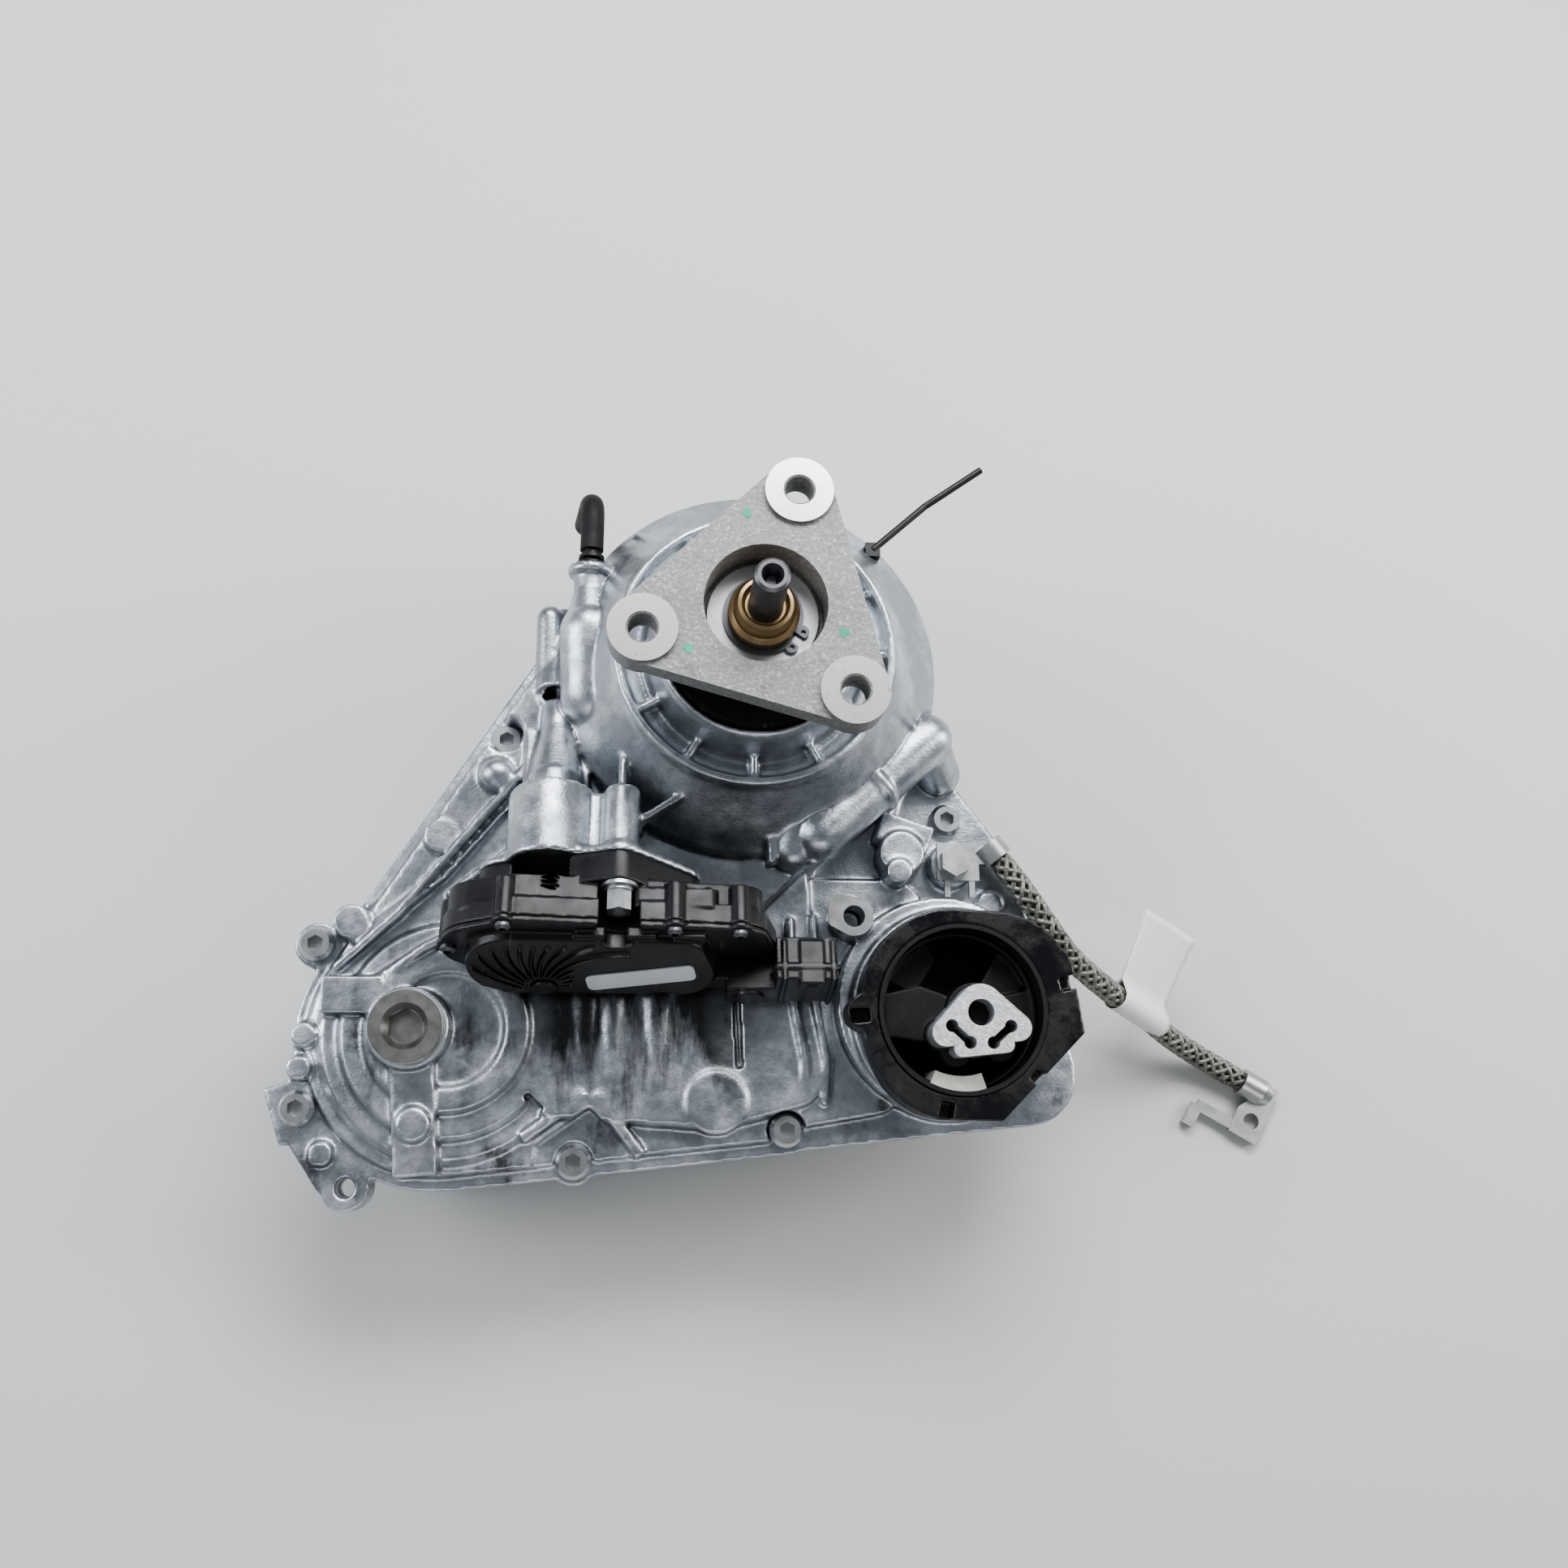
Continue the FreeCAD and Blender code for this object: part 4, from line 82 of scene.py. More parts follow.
class Look:
    """A material under construction: object-space noise, masks, colour and bump."""

    def __init__(self, name, color, metallic=0.0, roughness=0.5, **extra):
        self.mat = bpy.data.materials.new(name)
        self.mat.use_nodes = True
        self.tree = self.mat.node_tree
        self.bsdf = self.tree.nodes["Principled BSDF"]
        self.bsdf.inputs["Base Color"].default_value = (*color, 1.0)
        self.bsdf.inputs["Metallic"].default_value = metallic
        self.bsdf.inputs["Roughness"].default_value = roughness
        for key, value in extra.items():
            self.bsdf.inputs[key.replace("_", " ")].default_value = value
        self.color = None
        self.base = color
        self.height = None
        self.where = self.node("ShaderNodeNewGeometry")

    def node(self, kind, **settings):
        made = self.tree.nodes.new(kind)
        for key, value in settings.items():
            setattr(made, key, value)
        return made

    def link(self, a, b):
        self.tree.links.new(a, b)

    def noise(self, scale, detail=4.0, rough=0.55, stretch=None):
        """Cloudy noise with scale in cycles per metre; stretch scales each axis before it."""
        made = self.node("ShaderNodeTexNoise")
        made.inputs["Scale"].default_value = scale
        made.inputs["Detail"].default_value = detail
        made.inputs["Roughness"].default_value = rough
        place = self.where.outputs["Position"]
        if stretch:
            scaling = self.node("ShaderNodeVectorMath", operation="MULTIPLY")
            self.link(place, scaling.inputs[0])
            scaling.inputs[1].default_value = stretch
            place = scaling.outputs[0]
        self.link(place, made.inputs["Vector"])
        return made.outputs["Fac"]

    def ramp(self, value, low, high, out_low=0.0, out_high=1.0):
        """The value carried from one range to another, and held at the ends."""
        made = self.node("ShaderNodeMapRange", clamp=True)
        made.inputs["From Min"].default_value = low
        made.inputs["From Max"].default_value = high
        made.inputs["To Min"].default_value = out_low
        made.inputs["To Max"].default_value = out_high
        self.link(value, made.inputs["Value"])
        return made.outputs["Result"]

    def math(self, operation, a, b):
        made = self.node("ShaderNodeMath", operation=operation)
        for i, value in enumerate((a, b)):
            if isinstance(value, (int, float)):
                made.inputs[i].default_value = value
            else:
                self.link(value, made.inputs[i])
        return made.outputs[0]

    def both(self, a, b):
        """High where both masks are; a number for one of them weakens the other."""
        return self.math("MULTIPLY", a, b)

    def inverse(self, mask):
        return self.math("SUBTRACT", 1.0, mask)

    def axis(self, name, normal=False):
        """One coordinate of the place, or of the way that the surface faces."""
        made = self.node("ShaderNodeSeparateXYZ")
        source = "Normal" if normal else "Position"
        self.link(self.where.outputs[source], made.inputs[0])
        return made.outputs[name]

    def curvature(self, low, high):
        """High on outer edges, or with low above high in creases."""
        return self.ramp(self.where.outputs["Pointiness"], low, high)

    def tint(self, mask, color):
        """Mixes a colour in where the mask is high."""
        made = self.node("ShaderNodeMix", data_type="RGBA")
        if self.color is None:
            made.inputs["A"].default_value = (*self.base, 1.0)
        else:
            self.link(self.color, made.inputs["A"])
        made.inputs["B"].default_value = (*color, 1.0)
        self.link(mask, made.inputs["Factor"])
        self.color = made.outputs["Result"]
        self.link(self.color, self.bsdf.inputs["Base Color"])

    def rough(self, mask, low, high):
        """Roughness that follows a mask."""
        self.link(self.ramp(mask, 0.0, 1.0, low, high), self.bsdf.inputs["Roughness"])

    def bump(self, value, distance, strength=1.0):
        """One more layer of relief, on top of those before it."""
        made = self.node("ShaderNodeBump")
        made.inputs["Distance"].default_value = distance
        made.inputs["Strength"].default_value = strength
        self.link(value, made.inputs["Height"])
        if self.height is not None:
            self.link(self.height, made.inputs["Normal"])
        self.height = made.outputs["Normal"]
        self.link(self.height, self.bsdf.inputs["Normal"])


# oil runs down the lower wall from under the actuator, and painted shade under the actuator
# darkens the same place
OIL_AND_SHADE_LEFT, OIL_AND_SHADE_RIGHT = (-0.110, -0.085), (0.012, -0.020)
OIL_AND_SHADE_TOP, OIL_AND_SHADE_FOOT = (-0.085, -0.125), (-0.196, -0.166)


def oil_and_shade_below_actuator(look):
    """Mask of the oil and the painted shade below the actuator, with runs of uneven length."""
    ends = look.both(look.ramp(look.axis("X"), *OIL_AND_SHADE_LEFT), look.ramp(look.axis("X"), *OIL_AND_SHADE_RIGHT))
    runs = look.noise(70.0, 5.0, 0.6, (1.0, 0.22, 0.6))
    uneven = look.both(look.math("SUBTRACT", runs, 0.5), 0.16)
    foot = look.ramp(look.math("ADD", look.axis("Y"), uneven), *OIL_AND_SHADE_FOOT)
    return look.both(look.both(ends, foot), look.ramp(look.axis("Y"), *OIL_AND_SHADE_TOP, 0.0, 0.93))


def oil_film(look):
    """Mask of the thin patchy oil that thickens towards the lower end of the case."""
    low_down = look.ramp(look.axis("Y"), -0.03, -0.19)
    film = look.both(low_down, look.ramp(look.noise(20.0, 7.0, 0.72), 0.49, 0.60))
    streaks = look.ramp(look.noise(60.0, 5.0, 0.6, (1.0, 0.35, 1.0)), 0.50, 0.66)
    return look.both(film, streaks)


def cast_aluminium():
    """Sand-cast skin: grey mottling, painted highlights on outer edges, painted shade in creases,
    oil low down with painted shade under the actuator.
    """
    look = Look("cast_aluminium", (0.38, 0.405, 0.435), 0.94, 0.36)
    look.tint(look.ramp(look.noise(38.0, 6.0, 0.62), 0.44, 0.60), (0.60, 0.63, 0.665))
    look.tint(look.ramp(look.noise(300.0, 5.0), 0.50, 0.70, 0.0, 0.4), (0.26, 0.28, 0.31))
    oil = oil_film(look)
    look.tint(look.both(oil, 0.85), (0.045, 0.04, 0.038))
    # near-black oil under the actuator, darkened further as painted shade under it
    look.tint(oil_and_shade_below_actuator(look), (0.022, 0.021, 0.021))
    # painted shade that darkens creases and corners
    look.tint(look.both(look.curvature(0.495, 0.44), 0.75), (0.05, 0.048, 0.047))
    # painted highlight that brightens outer edges
    look.tint(look.both(look.curvature(0.525, 0.58), 0.7), (0.84, 0.87, 0.90))
    look.rough(look.both(look.noise(120.0, 5.0), look.inverse(oil)), 0.16, 0.56)
    look.bump(look.noise(900.0, 3.0), 0.00022, 0.5)
    look.bump(look.noise(240.0, 4.0), 0.0005, 0.3)
    return look.mat


def machined(name, color=(0.60, 0.61, 0.62), roughness=0.28):
    """Turned or ground steel with fine tool marks and a little oil."""
    look = Look(name, color, 1.0, roughness)
    oiled = tuple(0.55 * c for c in color)
    look.tint(look.ramp(look.noise(60.0, 5.0), 0.50, 0.75, 0.0, 0.5), oiled)
    look.rough(look.noise(160.0, 4.0), roughness * 0.75, roughness * 1.5)
    look.bump(look.noise(300.0, 3.0, 0.6, (1.0, 1.0, 14.0)), 0.00008, 0.5)
    return look.mat


def cast_iron():
    """Rough grey casting, bright and pitted on its machined top faces."""
    look = Look("cast_iron_grey", (0.30, 0.30, 0.295), 0.75, 0.55)
    look.tint(look.ramp(look.noise(700.0, 4.0, 0.7), 0.52, 0.70, 0.0, 0.8), (0.62, 0.61, 0.60))
    look.tint(look.ramp(look.noise(90.0, 5.0), 0.55, 0.75, 0.0, 0.6), (0.16, 0.15, 0.14))
    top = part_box("rear_output_flange")[1].z
    face = look.both(look.ramp(look.axis("Z"), top - 0.0007, top - 0.0004),
                     look.ramp(look.axis("Z", normal=True), 0.90, 0.98))
    cast = look.inverse(face)
    look.tint(face, (0.80, 0.79, 0.75))
    pits = look.ramp(look.noise(420.0, 5.0, 0.7), 0.60, 0.68, 0.0, 0.7)
    look.tint(look.both(face, pits), (0.30, 0.27, 0.22))
    look.rough(cast, 0.26, 0.62)
    look.bump(look.both(look.noise(520.0, 5.0, 0.6), cast), 0.0006, 0.8)
    return look.mat


def plastic(name, color=(0.007, 0.007, 0.008), roughness=0.36):
    """Moulded polymer: fine grain, scuffs, a little dust."""
    look = Look(name, color, 0.0, roughness, Specular_IOR_Level=0.42)
    paler = tuple(1.8 * c for c in color)
    look.tint(look.ramp(look.noise(70.0, 5.0), 0.45, 0.75, 0.0, 0.5), paler)
    dust = look.ramp(look.noise(34.0, 7.0, 0.75), 0.58, 0.72, 0.0, 0.35)
    look.tint(dust, tuple(0.035 + 0.9 * c for c in color))
    scuffs = look.ramp(look.noise(210.0, 3.0, 0.5, (1.0, 0.2, 0.2)), 0.66, 0.70, 0.0, 0.4)
    look.tint(scuffs, tuple(0.08 + 0.85 * c for c in color))
    look.rough(look.noise(90.0, 5.0), roughness * 0.55, roughness * 1.5)
    look.bump(look.noise(1400.0, 2.0), 0.00012, 0.5)
    return look.mat


def rubber():
    """Black rubber, matt and a little dusty."""
    look = Look("black_rubber", (0.006, 0.006, 0.007), 0.0, 0.5, Specular_IOR_Level=0.35)
    look.tint(look.ramp(look.noise(60.0, 6.0, 0.7), 0.52, 0.72, 0.0, 0.6), (0.022, 0.021, 0.02))
    look.rough(look.noise(140.0, 4.0), 0.42, 0.75)
    look.bump(look.noise(600.0, 4.0), 0.0002, 0.6)
    return look.mat


def foil():
    """Silvered label stock, a little crumpled."""
    look = Look("label_foil", (0.66, 0.67, 0.68), 0.55, 0.34)
    look.tint(look.ramp(look.noise(50.0, 5.0), 0.5, 0.75, 0.0, 0.4), (0.48, 0.48, 0.47))
    look.rough(look.noise(130.0, 4.0), 0.24, 0.44)
    look.bump(look.noise(120.0, 3.0), 0.0003, 0.3)
    return look.mat


def oily_moulding():
    """Black moulded polymer, half of it wet with oil."""
    look = Look("oily_moulding", (0.006, 0.006, 0.007), 0.0, 0.3, Specular_IOR_Level=0.5)
    wet = look.ramp(look.noise(24.0, 6.0, 0.7), 0.46, 0.58)
    look.tint(look.ramp(look.noise(45.0, 6.0, 0.75), 0.58, 0.72, 0.0, 0.5), (0.035, 0.033, 0.03))
    look.rough(look.inverse(wet), 0.12, 0.46)
    look.bump(look.noise(500.0, 4.0), 0.00025, 0.5)
    look.bump(look.noise(36.0, 5.0), 0.0009, 0.25)
    return look.mat


def cast_core():
    """Pale die-cast core with a sawn, pitted face."""
    look = Look("cast_core", (0.56, 0.57, 0.58), 0.85, 0.42)
    look.tint(look.ramp(look.noise(420.0, 5.0, 0.7), 0.48, 0.66), (0.80, 0.81, 0.82))
    look.tint(look.ramp(look.noise(180.0, 4.0, 0.7), 0.60, 0.72, 0.0, 0.6), (0.22, 0.21, 0.20))
    look.rough(look.noise(200.0, 4.0), 0.32, 0.6)
    look.bump(look.noise(500.0, 5.0, 0.7), 0.0004, 0.7)
    return look.mat


def bronze():
    """Turned bronze with fine rings."""
    look = Look("bearing_bronze", (0.42, 0.30, 0.17), 1.0, 0.30)
    look.tint(look.ramp(look.noise(120.0, 4.0), 0.5, 0.7, 0.0, 0.6), (0.62, 0.50, 0.34))
    look.rough(look.noise(200.0, 3.0), 0.25, 0.45)
    look.bump(look.noise(300.0, 3.0, 0.6, (1.0, 1.0, 12.0)), 0.00006, 0.5)
    return look.mat


def braid():
    """Tinned copper wire, dull and grey-green with age."""
    look = Look("copper_braid", (0.20, 0.20, 0.175), 0.7, 0.46)
    look.tint(look.ramp(look.noise(900.0, 3.0), 0.48, 0.70), (0.46, 0.46, 0.42))
    look.tint(look.ramp(look.noise(45.0, 5.0), 0.50, 0.70, 0.0, 0.7), (0.08, 0.08, 0.065))
    look.bump(look.noise(2600.0, 2.0), 0.0002, 0.7)
    return look.mat


def paper():
    """White label paper with faint soiling."""
    look = Look("white_paper", (0.78, 0.78, 0.77), 0.0, 0.45)
    look.tint(look.ramp(look.noise(60.0, 4.0), 0.55, 0.8, 0.0, 0.3), (0.55, 0.55, 0.52))
    look.bump(look.noise(300.0, 2.0), 0.0001, 0.3)
    return look.mat


LOOKS = {
    "cast_aluminium": cast_aluminium(),
    "cast_iron_grey": cast_iron(),
    "machined_steel": machined("machined_steel"),
    "plated_steel": machined("plated_steel", (0.56, 0.565, 0.56), 0.34),
    "dark_steel": machined("dark_steel", (0.16, 0.16, 0.17), 0.36),
    "bearing_bronze": bronze(),
    "friction_lining": plastic("friction_lining", (0.12, 0.08, 0.05), 0.8),
    "black_plastic": plastic("black_plastic"),
    "black_paint": plastic("black_paint", (0.008, 0.008, 0.009), 0.3),
    "black_rubber": rubber(),
    "pale_plastic": plastic("pale_plastic", (0.62, 0.60, 0.55), 0.5),
    "green_board": plastic("green_board", (0.02, 0.13, 0.05), 0.35),
    "copper_braid": braid(),
    "white_paper": paper(),
    "label_foil": foil(),
    "green_paint": plastic("green_paint", (0.05, 0.38, 0.22), 0.5),
    "zinc_steel": machined("zinc_steel", (0.50, 0.51, 0.52), 0.30),
    "worn_zinc": machined("worn_zinc", (0.30, 0.295, 0.28), 0.34),
    "oily_moulding": oily_moulding(),
    "cast_core": cast_core(),
}

# nodes whose visible finish differs from the rest of their slot
FINISH = {
    "case_bolts": "zinc_steel",
    "mount_sleeve": "black_rubber",
    "mount_collar": "oily_moulding",
    "mount_core": "cast_core",
    "main_shaft": "dark_steel",
    "actuator_bolt": "zinc_steel",
    "fill_plug": "worn_zinc",
}

for part in frame["record"]["subparts"]:
    shown = nodes[part["node"]]
    shown.data.materials.clear()
    shown.data.materials.append(LOOKS[FINISH.get(part["node"], part["material_slot"])])


# ---- pieces ---------------------------------------------------------------------------

def new_piece(name, mesh, material, body="case"):
    """A piece on a body, with a finish."""
    piece = bpy.data.objects.new(name, mesh)
    bpy.context.scene.collection.objects.link(piece)
    mesh.materials.clear()
    mesh.materials.append(LOOKS[material])
    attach(piece, body)
    return piece


def applied(obj):
    """The object's mesh with its modifiers applied, or a curve's line."""
    graph = bpy.context.evaluated_depsgraph_get()
    graph.update()
    return bpy.data.meshes.new_from_object(obj.evaluated_get(graph))


def shade_smooth(mesh):
    for face in mesh.polygons:
        face.use_smooth = True


# ---- solid forms ----------------------------------------------------------------------

MM = 0.001
# case coordinates, in millimetres
CASE = Matrix.Scale(MM, 4)

# actuator coordinates, in millimetres: x, up its face, outward
ACTUATOR_AT, ACTUATOR_TILT = (0.0, -0.100, 0.124), 74.0
ACTUATOR = (Matrix.Translation(ACTUATOR_AT)
            @ Matrix.Rotation(math.radians(ACTUATOR_TILT), 4, "X") @ CASE)


def extrude(bm, outline, z0, z1, place=CASE):
    """Closed prism from a plan outline between two heights, carried by a matrix."""
    low = [bm.verts.new(place @ Vector((x, y, z0))) for x, y in outline]
    high = [bm.verts.new(place @ Vector((x, y, z1))) for x, y in outline]
    bm.faces.new(low[::-1])
    bm.faces.new(high)
    for i, corner in enumerate(low):
        j = (i + 1) % len(low)
        bm.faces.new((corner, low[j], high[j], high[i]))


def on_actuator(bm, outline, inner, outer):
    """Prism in the actuator's coordinates, between two distances outward."""
    extrude(bm, outline, inner, outer, ACTUATOR)


def skin(bm, rings):
    """Closed tube over a row of rings of corners."""
    sides = len(rings[0])
    for one, two in zip(rings, rings[1:]):
        for k in range(sides):
            j = (k + 1) % sides
            bm.faces.new((one[k], one[j], two[j], two[k]))
    bm.faces.new(rings[0][::-1])
    bm.faces.new(rings[-1])


def around(x, y, r, sides=32, start=0.0, sweep=360.0):
    """Points on a circle, or on a stretch of it."""
    count = sides if sweep >= 360.0 else sides + 1
    return [(x + r * math.cos(math.radians(start + sweep * k / sides)),
             y + r * math.sin(math.radians(start + sweep * k / sides))) for k in range(count)]


def rectangle(x0, y0, x1, y1, corner=0.0):
    """Plan rectangle with its corners rounded."""
    if corner == 0.0:
        return [(x0, y0), (x1, y0), (x1, y1), (x0, y1)]
    points = []
    for k, (x, y) in enumerate(((x1 - corner, y1 - corner), (x0 + corner, y1 - corner),
                                (x0 + corner, y0 + corner), (x1 - corner, y0 + corner))):
        points += around(x, y, corner, 6, 90.0 * k, 90.0)
    return points


def finished(bm):
    """The mesh of what was built, with its faces turned outward."""
    bmesh.ops.recalc_face_normals(bm, faces=bm.faces)
    mesh = bpy.data.meshes.new("form")
    bm.to_mesh(mesh)
    bm.free()
    return mesh


def joined(meshes):
    bm = bmesh.new()
    for mesh in meshes:
        bm.from_mesh(mesh)
    return finished(bm)


def cad_form(node):
    return nodes[node].data.copy()


def softened(mesh, voxel, passes):
    """The form as one skin, its corners rounded as a mould leaves them."""
    work = bpy.data.objects.new("work", mesh)
    bpy.context.scene.collection.objects.link(work)
    remesh = work.modifiers.new("remesh", "REMESH")
    remesh.mode = "VOXEL"
    remesh.voxel_size = voxel
    if passes:
        soften = work.modifiers.new("soften", "SMOOTH")
        soften.factor = 0.5
        soften.iterations = passes
    form = applied(work)
    bpy.data.objects.remove(work)
    shade_smooth(form)
    return form


def moulded(name, node, material, voxel, passes, added=None):
    """Piece from a CAD node's form and any form added to it, with moulded corners."""
    form = cad_form(node)
    if added is not None:
        form = joined([form, added])
    return new_piece(name, softened(form, voxel, passes), material)


# ---- castings -------------------------------------------------------------------------

# middle of the actuator's bolt boss, in actuator millimetres
BOLT_X = -58.0


def pocket_webs():
    """Webs that tie the actuator's bolt boss to the motor pocket and to the dome."""
    bm = bmesh.new()
    pocket_web = [(BOLT_X - 15.5, 11.0), (BOLT_X - 2.0, 13.0), (BOLT_X, 5.0),
                  (BOLT_X - 12.5, -2.0)]
    boss_fin = rectangle(BOLT_X - 2.2, 5.0, BOLT_X + 1.6, 16.5, 1.2)
    rib_foot = [(-58.0, -80.0), (-50.0, -75.0), (-48.5, -78.0), (-56.0, -83.0)]
    rib_crest = [(-52.0, -76.5), (-33.0, -64.5), (-31.5, -67.5), (-50.5, -79.5)]
    on_actuator(bm, pocket_web, -33.0, -1.0)
    on_actuator(bm, boss_fin, -52.0, -30.0)
    extrude(bm, rib_foot, 100.0, 125.0)
    # the crest starts this high up to stay out of the dome's cavity
    extrude(bm, rib_crest, 117.0, 128.0)
    return finished(bm)


def castings():
    """Both case halves with the fillets and soft corners of sand castings."""
    rear = moulded("rear_casting", "rear_housing", "cast_aluminium", 0.0010, 9, pocket_webs())
    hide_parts("rear_housing")
    front = moulded("front_casting", "front_housing", "cast_aluminium", 0.0013, 7)
    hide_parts("front_housing")


castings()


# ---- actuator -------------------------------------------------------------------------

# the cover's face leans back from its lower edge
FACE_OUT, FACE_FOOT, FACE_LEAN = 46.0, -30.0, 0.22
FACE_LOW, FACE_HIGH, FACE_END_R = -27.5, 4.5, 17.0
MOTOR_END, PLUG_END = (-104.0, -12.0), (-30.0, -17.0)
EDGE_BLOCKS = (-70.0, -48.0, -27.0)
HOUSING_WEBS = (-118.0, -92.0, -72.0, -46.0, -20.0)

FAN, FAN_HUB_R, FAN_HUB_RISE = (-90.0, -25.0), 6.0, 1.4
# bearing of the first fin, degrees between two, and degrees of curl per millimetre
FINS, FIN_FIRST, FIN_PITCH, FIN_CURL = 14, 178.0, 12.5, 0.9
FIN_START, FIN_REACH, FIN_STEP = 8.0, 46.0, 2.0
# corners of a fin's section: to the side, and out from the face
FIN_SECTION = ((-0.75, -2.0), (0.75, -2.0), (0.45, 2.2), (-0.45, 2.2))

LABEL_AT, LABEL_TURN = (-48.0, -17.5), 11.0
LABEL_WIDE, LABEL_TALL, LABEL_CORNER = 48.0, 10.6, 2.8
# fins stop short of the label, beyond this x and below this height
LABEL_CLEAR = (-77.0, -9.5)


def face_out(up):
    return FACE_OUT - FACE_LEAN * (up - FACE_FOOT)


def on_face(x, up):
    """Whether a point lies on the flat of the cover, clear of the label."""
    if x < MOTOR_END[0]:
        return math.hypot(x - MOTOR_END[0], up - MOTOR_END[1]) < FACE_END_R
    beside_label = x > LABEL_CLEAR[0] and up < LABEL_CLEAR[1]
    return x < PLUG_END[0] and FACE_LOW < up < FACE_HIGH and not beside_label


def fin(bm, bearing):
    """One cooling fin that curls out from the fan's centre to the edge of the face."""
    rings = []
    r = FIN_START
    while r < FIN_REACH:
        a = math.radians(bearing - FIN_CURL * (r - FIN_START))
        x, up = FAN[0] + r * math.cos(a), FAN[1] + r * math.sin(a)
        if not on_face(x, up):
            break
        rings.append([
            bm.verts.new(ACTUATOR @ Vector((x - side * math.sin(a), up + side * math.cos(a),
                                            face_out(up) + rise)))
            for side, rise in FIN_SECTION])
        r += FIN_STEP
    if len(rings) > 1:
        skin(bm, rings)


def cover_blank():
    """CAD cover with its ends filled out, cut back to the leaning face."""
    bm = bmesh.new()
    ends = (around(*MOTOR_END, 18.0, 32, 90.0, 180.0)
            + around(*PLUG_END, 13.0, 16, 270.0, 180.0))
    on_actuator(bm, ends, 36.0, FACE_OUT - 0.5)
    blank = softened(joined([cad_form("actuator_cover"), finished(bm)]), 0.0006, 0)
    back = ACTUATOR.inverted()
    for vertex in blank.vertices:
        at = back @ vertex.co
        if at.z > face_out(at.y):
            at.z = face_out(at.y)
            vertex.co = ACTUATOR @ at
    return blank


def cover():
    """Cover with curled fins round its motor end, a hub, and blocks along its upper edge."""
    blank = cover_blank()
    bm = bmesh.new()
    for k in range(FINS):
        fin(bm, FIN_FIRST - FIN_PITCH * k)
    on_actuator(bm, around(*FAN, FAN_HUB_R), 38.0, face_out(FAN[1]) + FAN_HUB_RISE)
    for x in EDGE_BLOCKS:
        on_actuator(bm, rectangle(x - 6.5, 3.0, x + 6.5, 10.5, 1.2), 32.0, 36.5)
    piece = new_piece("cover", softened(joined([blank, finished(bm)]), 0.00045, 3),
                      "black_plastic")
    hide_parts("actuator_cover")


def housing():
    """Rim and posts of the housing, with stiffening webs and a panel across two of them."""
    bm = bmesh.new()
    for x in HOUSING_WEBS:
        on_actuator(bm, rectangle(x - 0.9, 2.0, x + 0.9, 12.0), 14.0, 30.0)
    on_actuator(bm, rectangle(-52.0, -2.0, -16.0, 14.5, 3.0), 15.0, 24.0)
    piece = moulded("actuator_shell", "actuator_housing", "black_plastic", 0.00055, 3,
                    finished(bm))
    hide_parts("actuator_housing")


def connector():
    """Plug sockets with a collar, a latch block, a foot rail, a round boss and two ribs."""
    bm = bmesh.new()
    socket_collar = rectangle(9.8, -33.2, 39.2, -4.8, 2.0)
    latch_block = rectangle(21.0, -11.0, 32.0, -5.0, 1.0)
    foot_rail = rectangle(-9.0, -35.5, 11.0, -33.0, 0.8)
    round_boss = around(0.0, -25.0, 6.5)
    on_actuator(bm, socket_collar, 41.0, 43.5)
    on_actuator(bm, latch_block, 30.0, 50.5)
    on_actuator(bm, foot_rail, 36.0, 47.0)
    on_actuator(bm, round_boss, 40.0, 50.0)
    for x in (13.5, 35.0):
        on_actuator(bm, rectangle(x, -33.5, x + 1.8, -4.5), 30.0, 49.2)
    piece = moulded("plug_sockets", "actuator_connector", "black_plastic", 0.0005, 3,
                    finished(bm))
    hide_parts("actuator_connector")


def latch_shade_sheet():
    """Black sheet on the latch block, painted shade in place of its window's opening."""
    bm = bmesh.new()
    on_actuator(bm, rectangle(24.0, -9.5, 29.0, -6.5, 0.8), 50.3, 50.7)
    # thin black sheet that stands in for the shade inside the latch's window
    new_piece("latch_shade_sheet", finished(bm), "black_rubber")


def blank_label():
    """Bare foil label on the leaning face, a little askew."""
    bm = bmesh.new()
    lean = Matrix.Rotation(-math.atan(FACE_LEAN), 4, "X")
    askew = Matrix.Rotation(math.radians(LABEL_TURN), 4, "Z")
    middle = Matrix.Translation((*LABEL_AT, face_out(LABEL_AT[1])))
    x, y = 0.5 * LABEL_WIDE, 0.5 * LABEL_TALL
    outline = rectangle(-x, -y, x, y, LABEL_CORNER)
    extrude(bm, outline, -0.3, 0.6, ACTUATOR @ middle @ (lean @ askew))
    new_piece("blank_label", finished(bm), "label_foil")


cover()
housing()
connector()
latch_shade_sheet()
blank_label()


# ---- rubber mount ---------------------------------------------------------------------

def plan_middle(node):
    """Middle of a node's plan, to a hundredth of a millimetre."""
    low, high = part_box(node)
    middle = (low + high) * 0.5 / MM
    return round(middle.x, 2), round(middle.y, 2)


BUSH_X, BUSH_Y = plan_middle("mount_sleeve")
CORE_X, CORE_Y = 101.5, -161.0
BUSH_R, LINING = 35.9, 2.2
BUSH_FLOOR, BUSH_SHADE_SHEET_TOP = 84.0, 88.5


def from_bush(*offsets):
    return [(BUSH_X + x, BUSH_Y + y) for x, y in offsets]


def from_core(*offsets):
    return [(CORE_X + x, CORE_Y + y) for x, y in offsets]


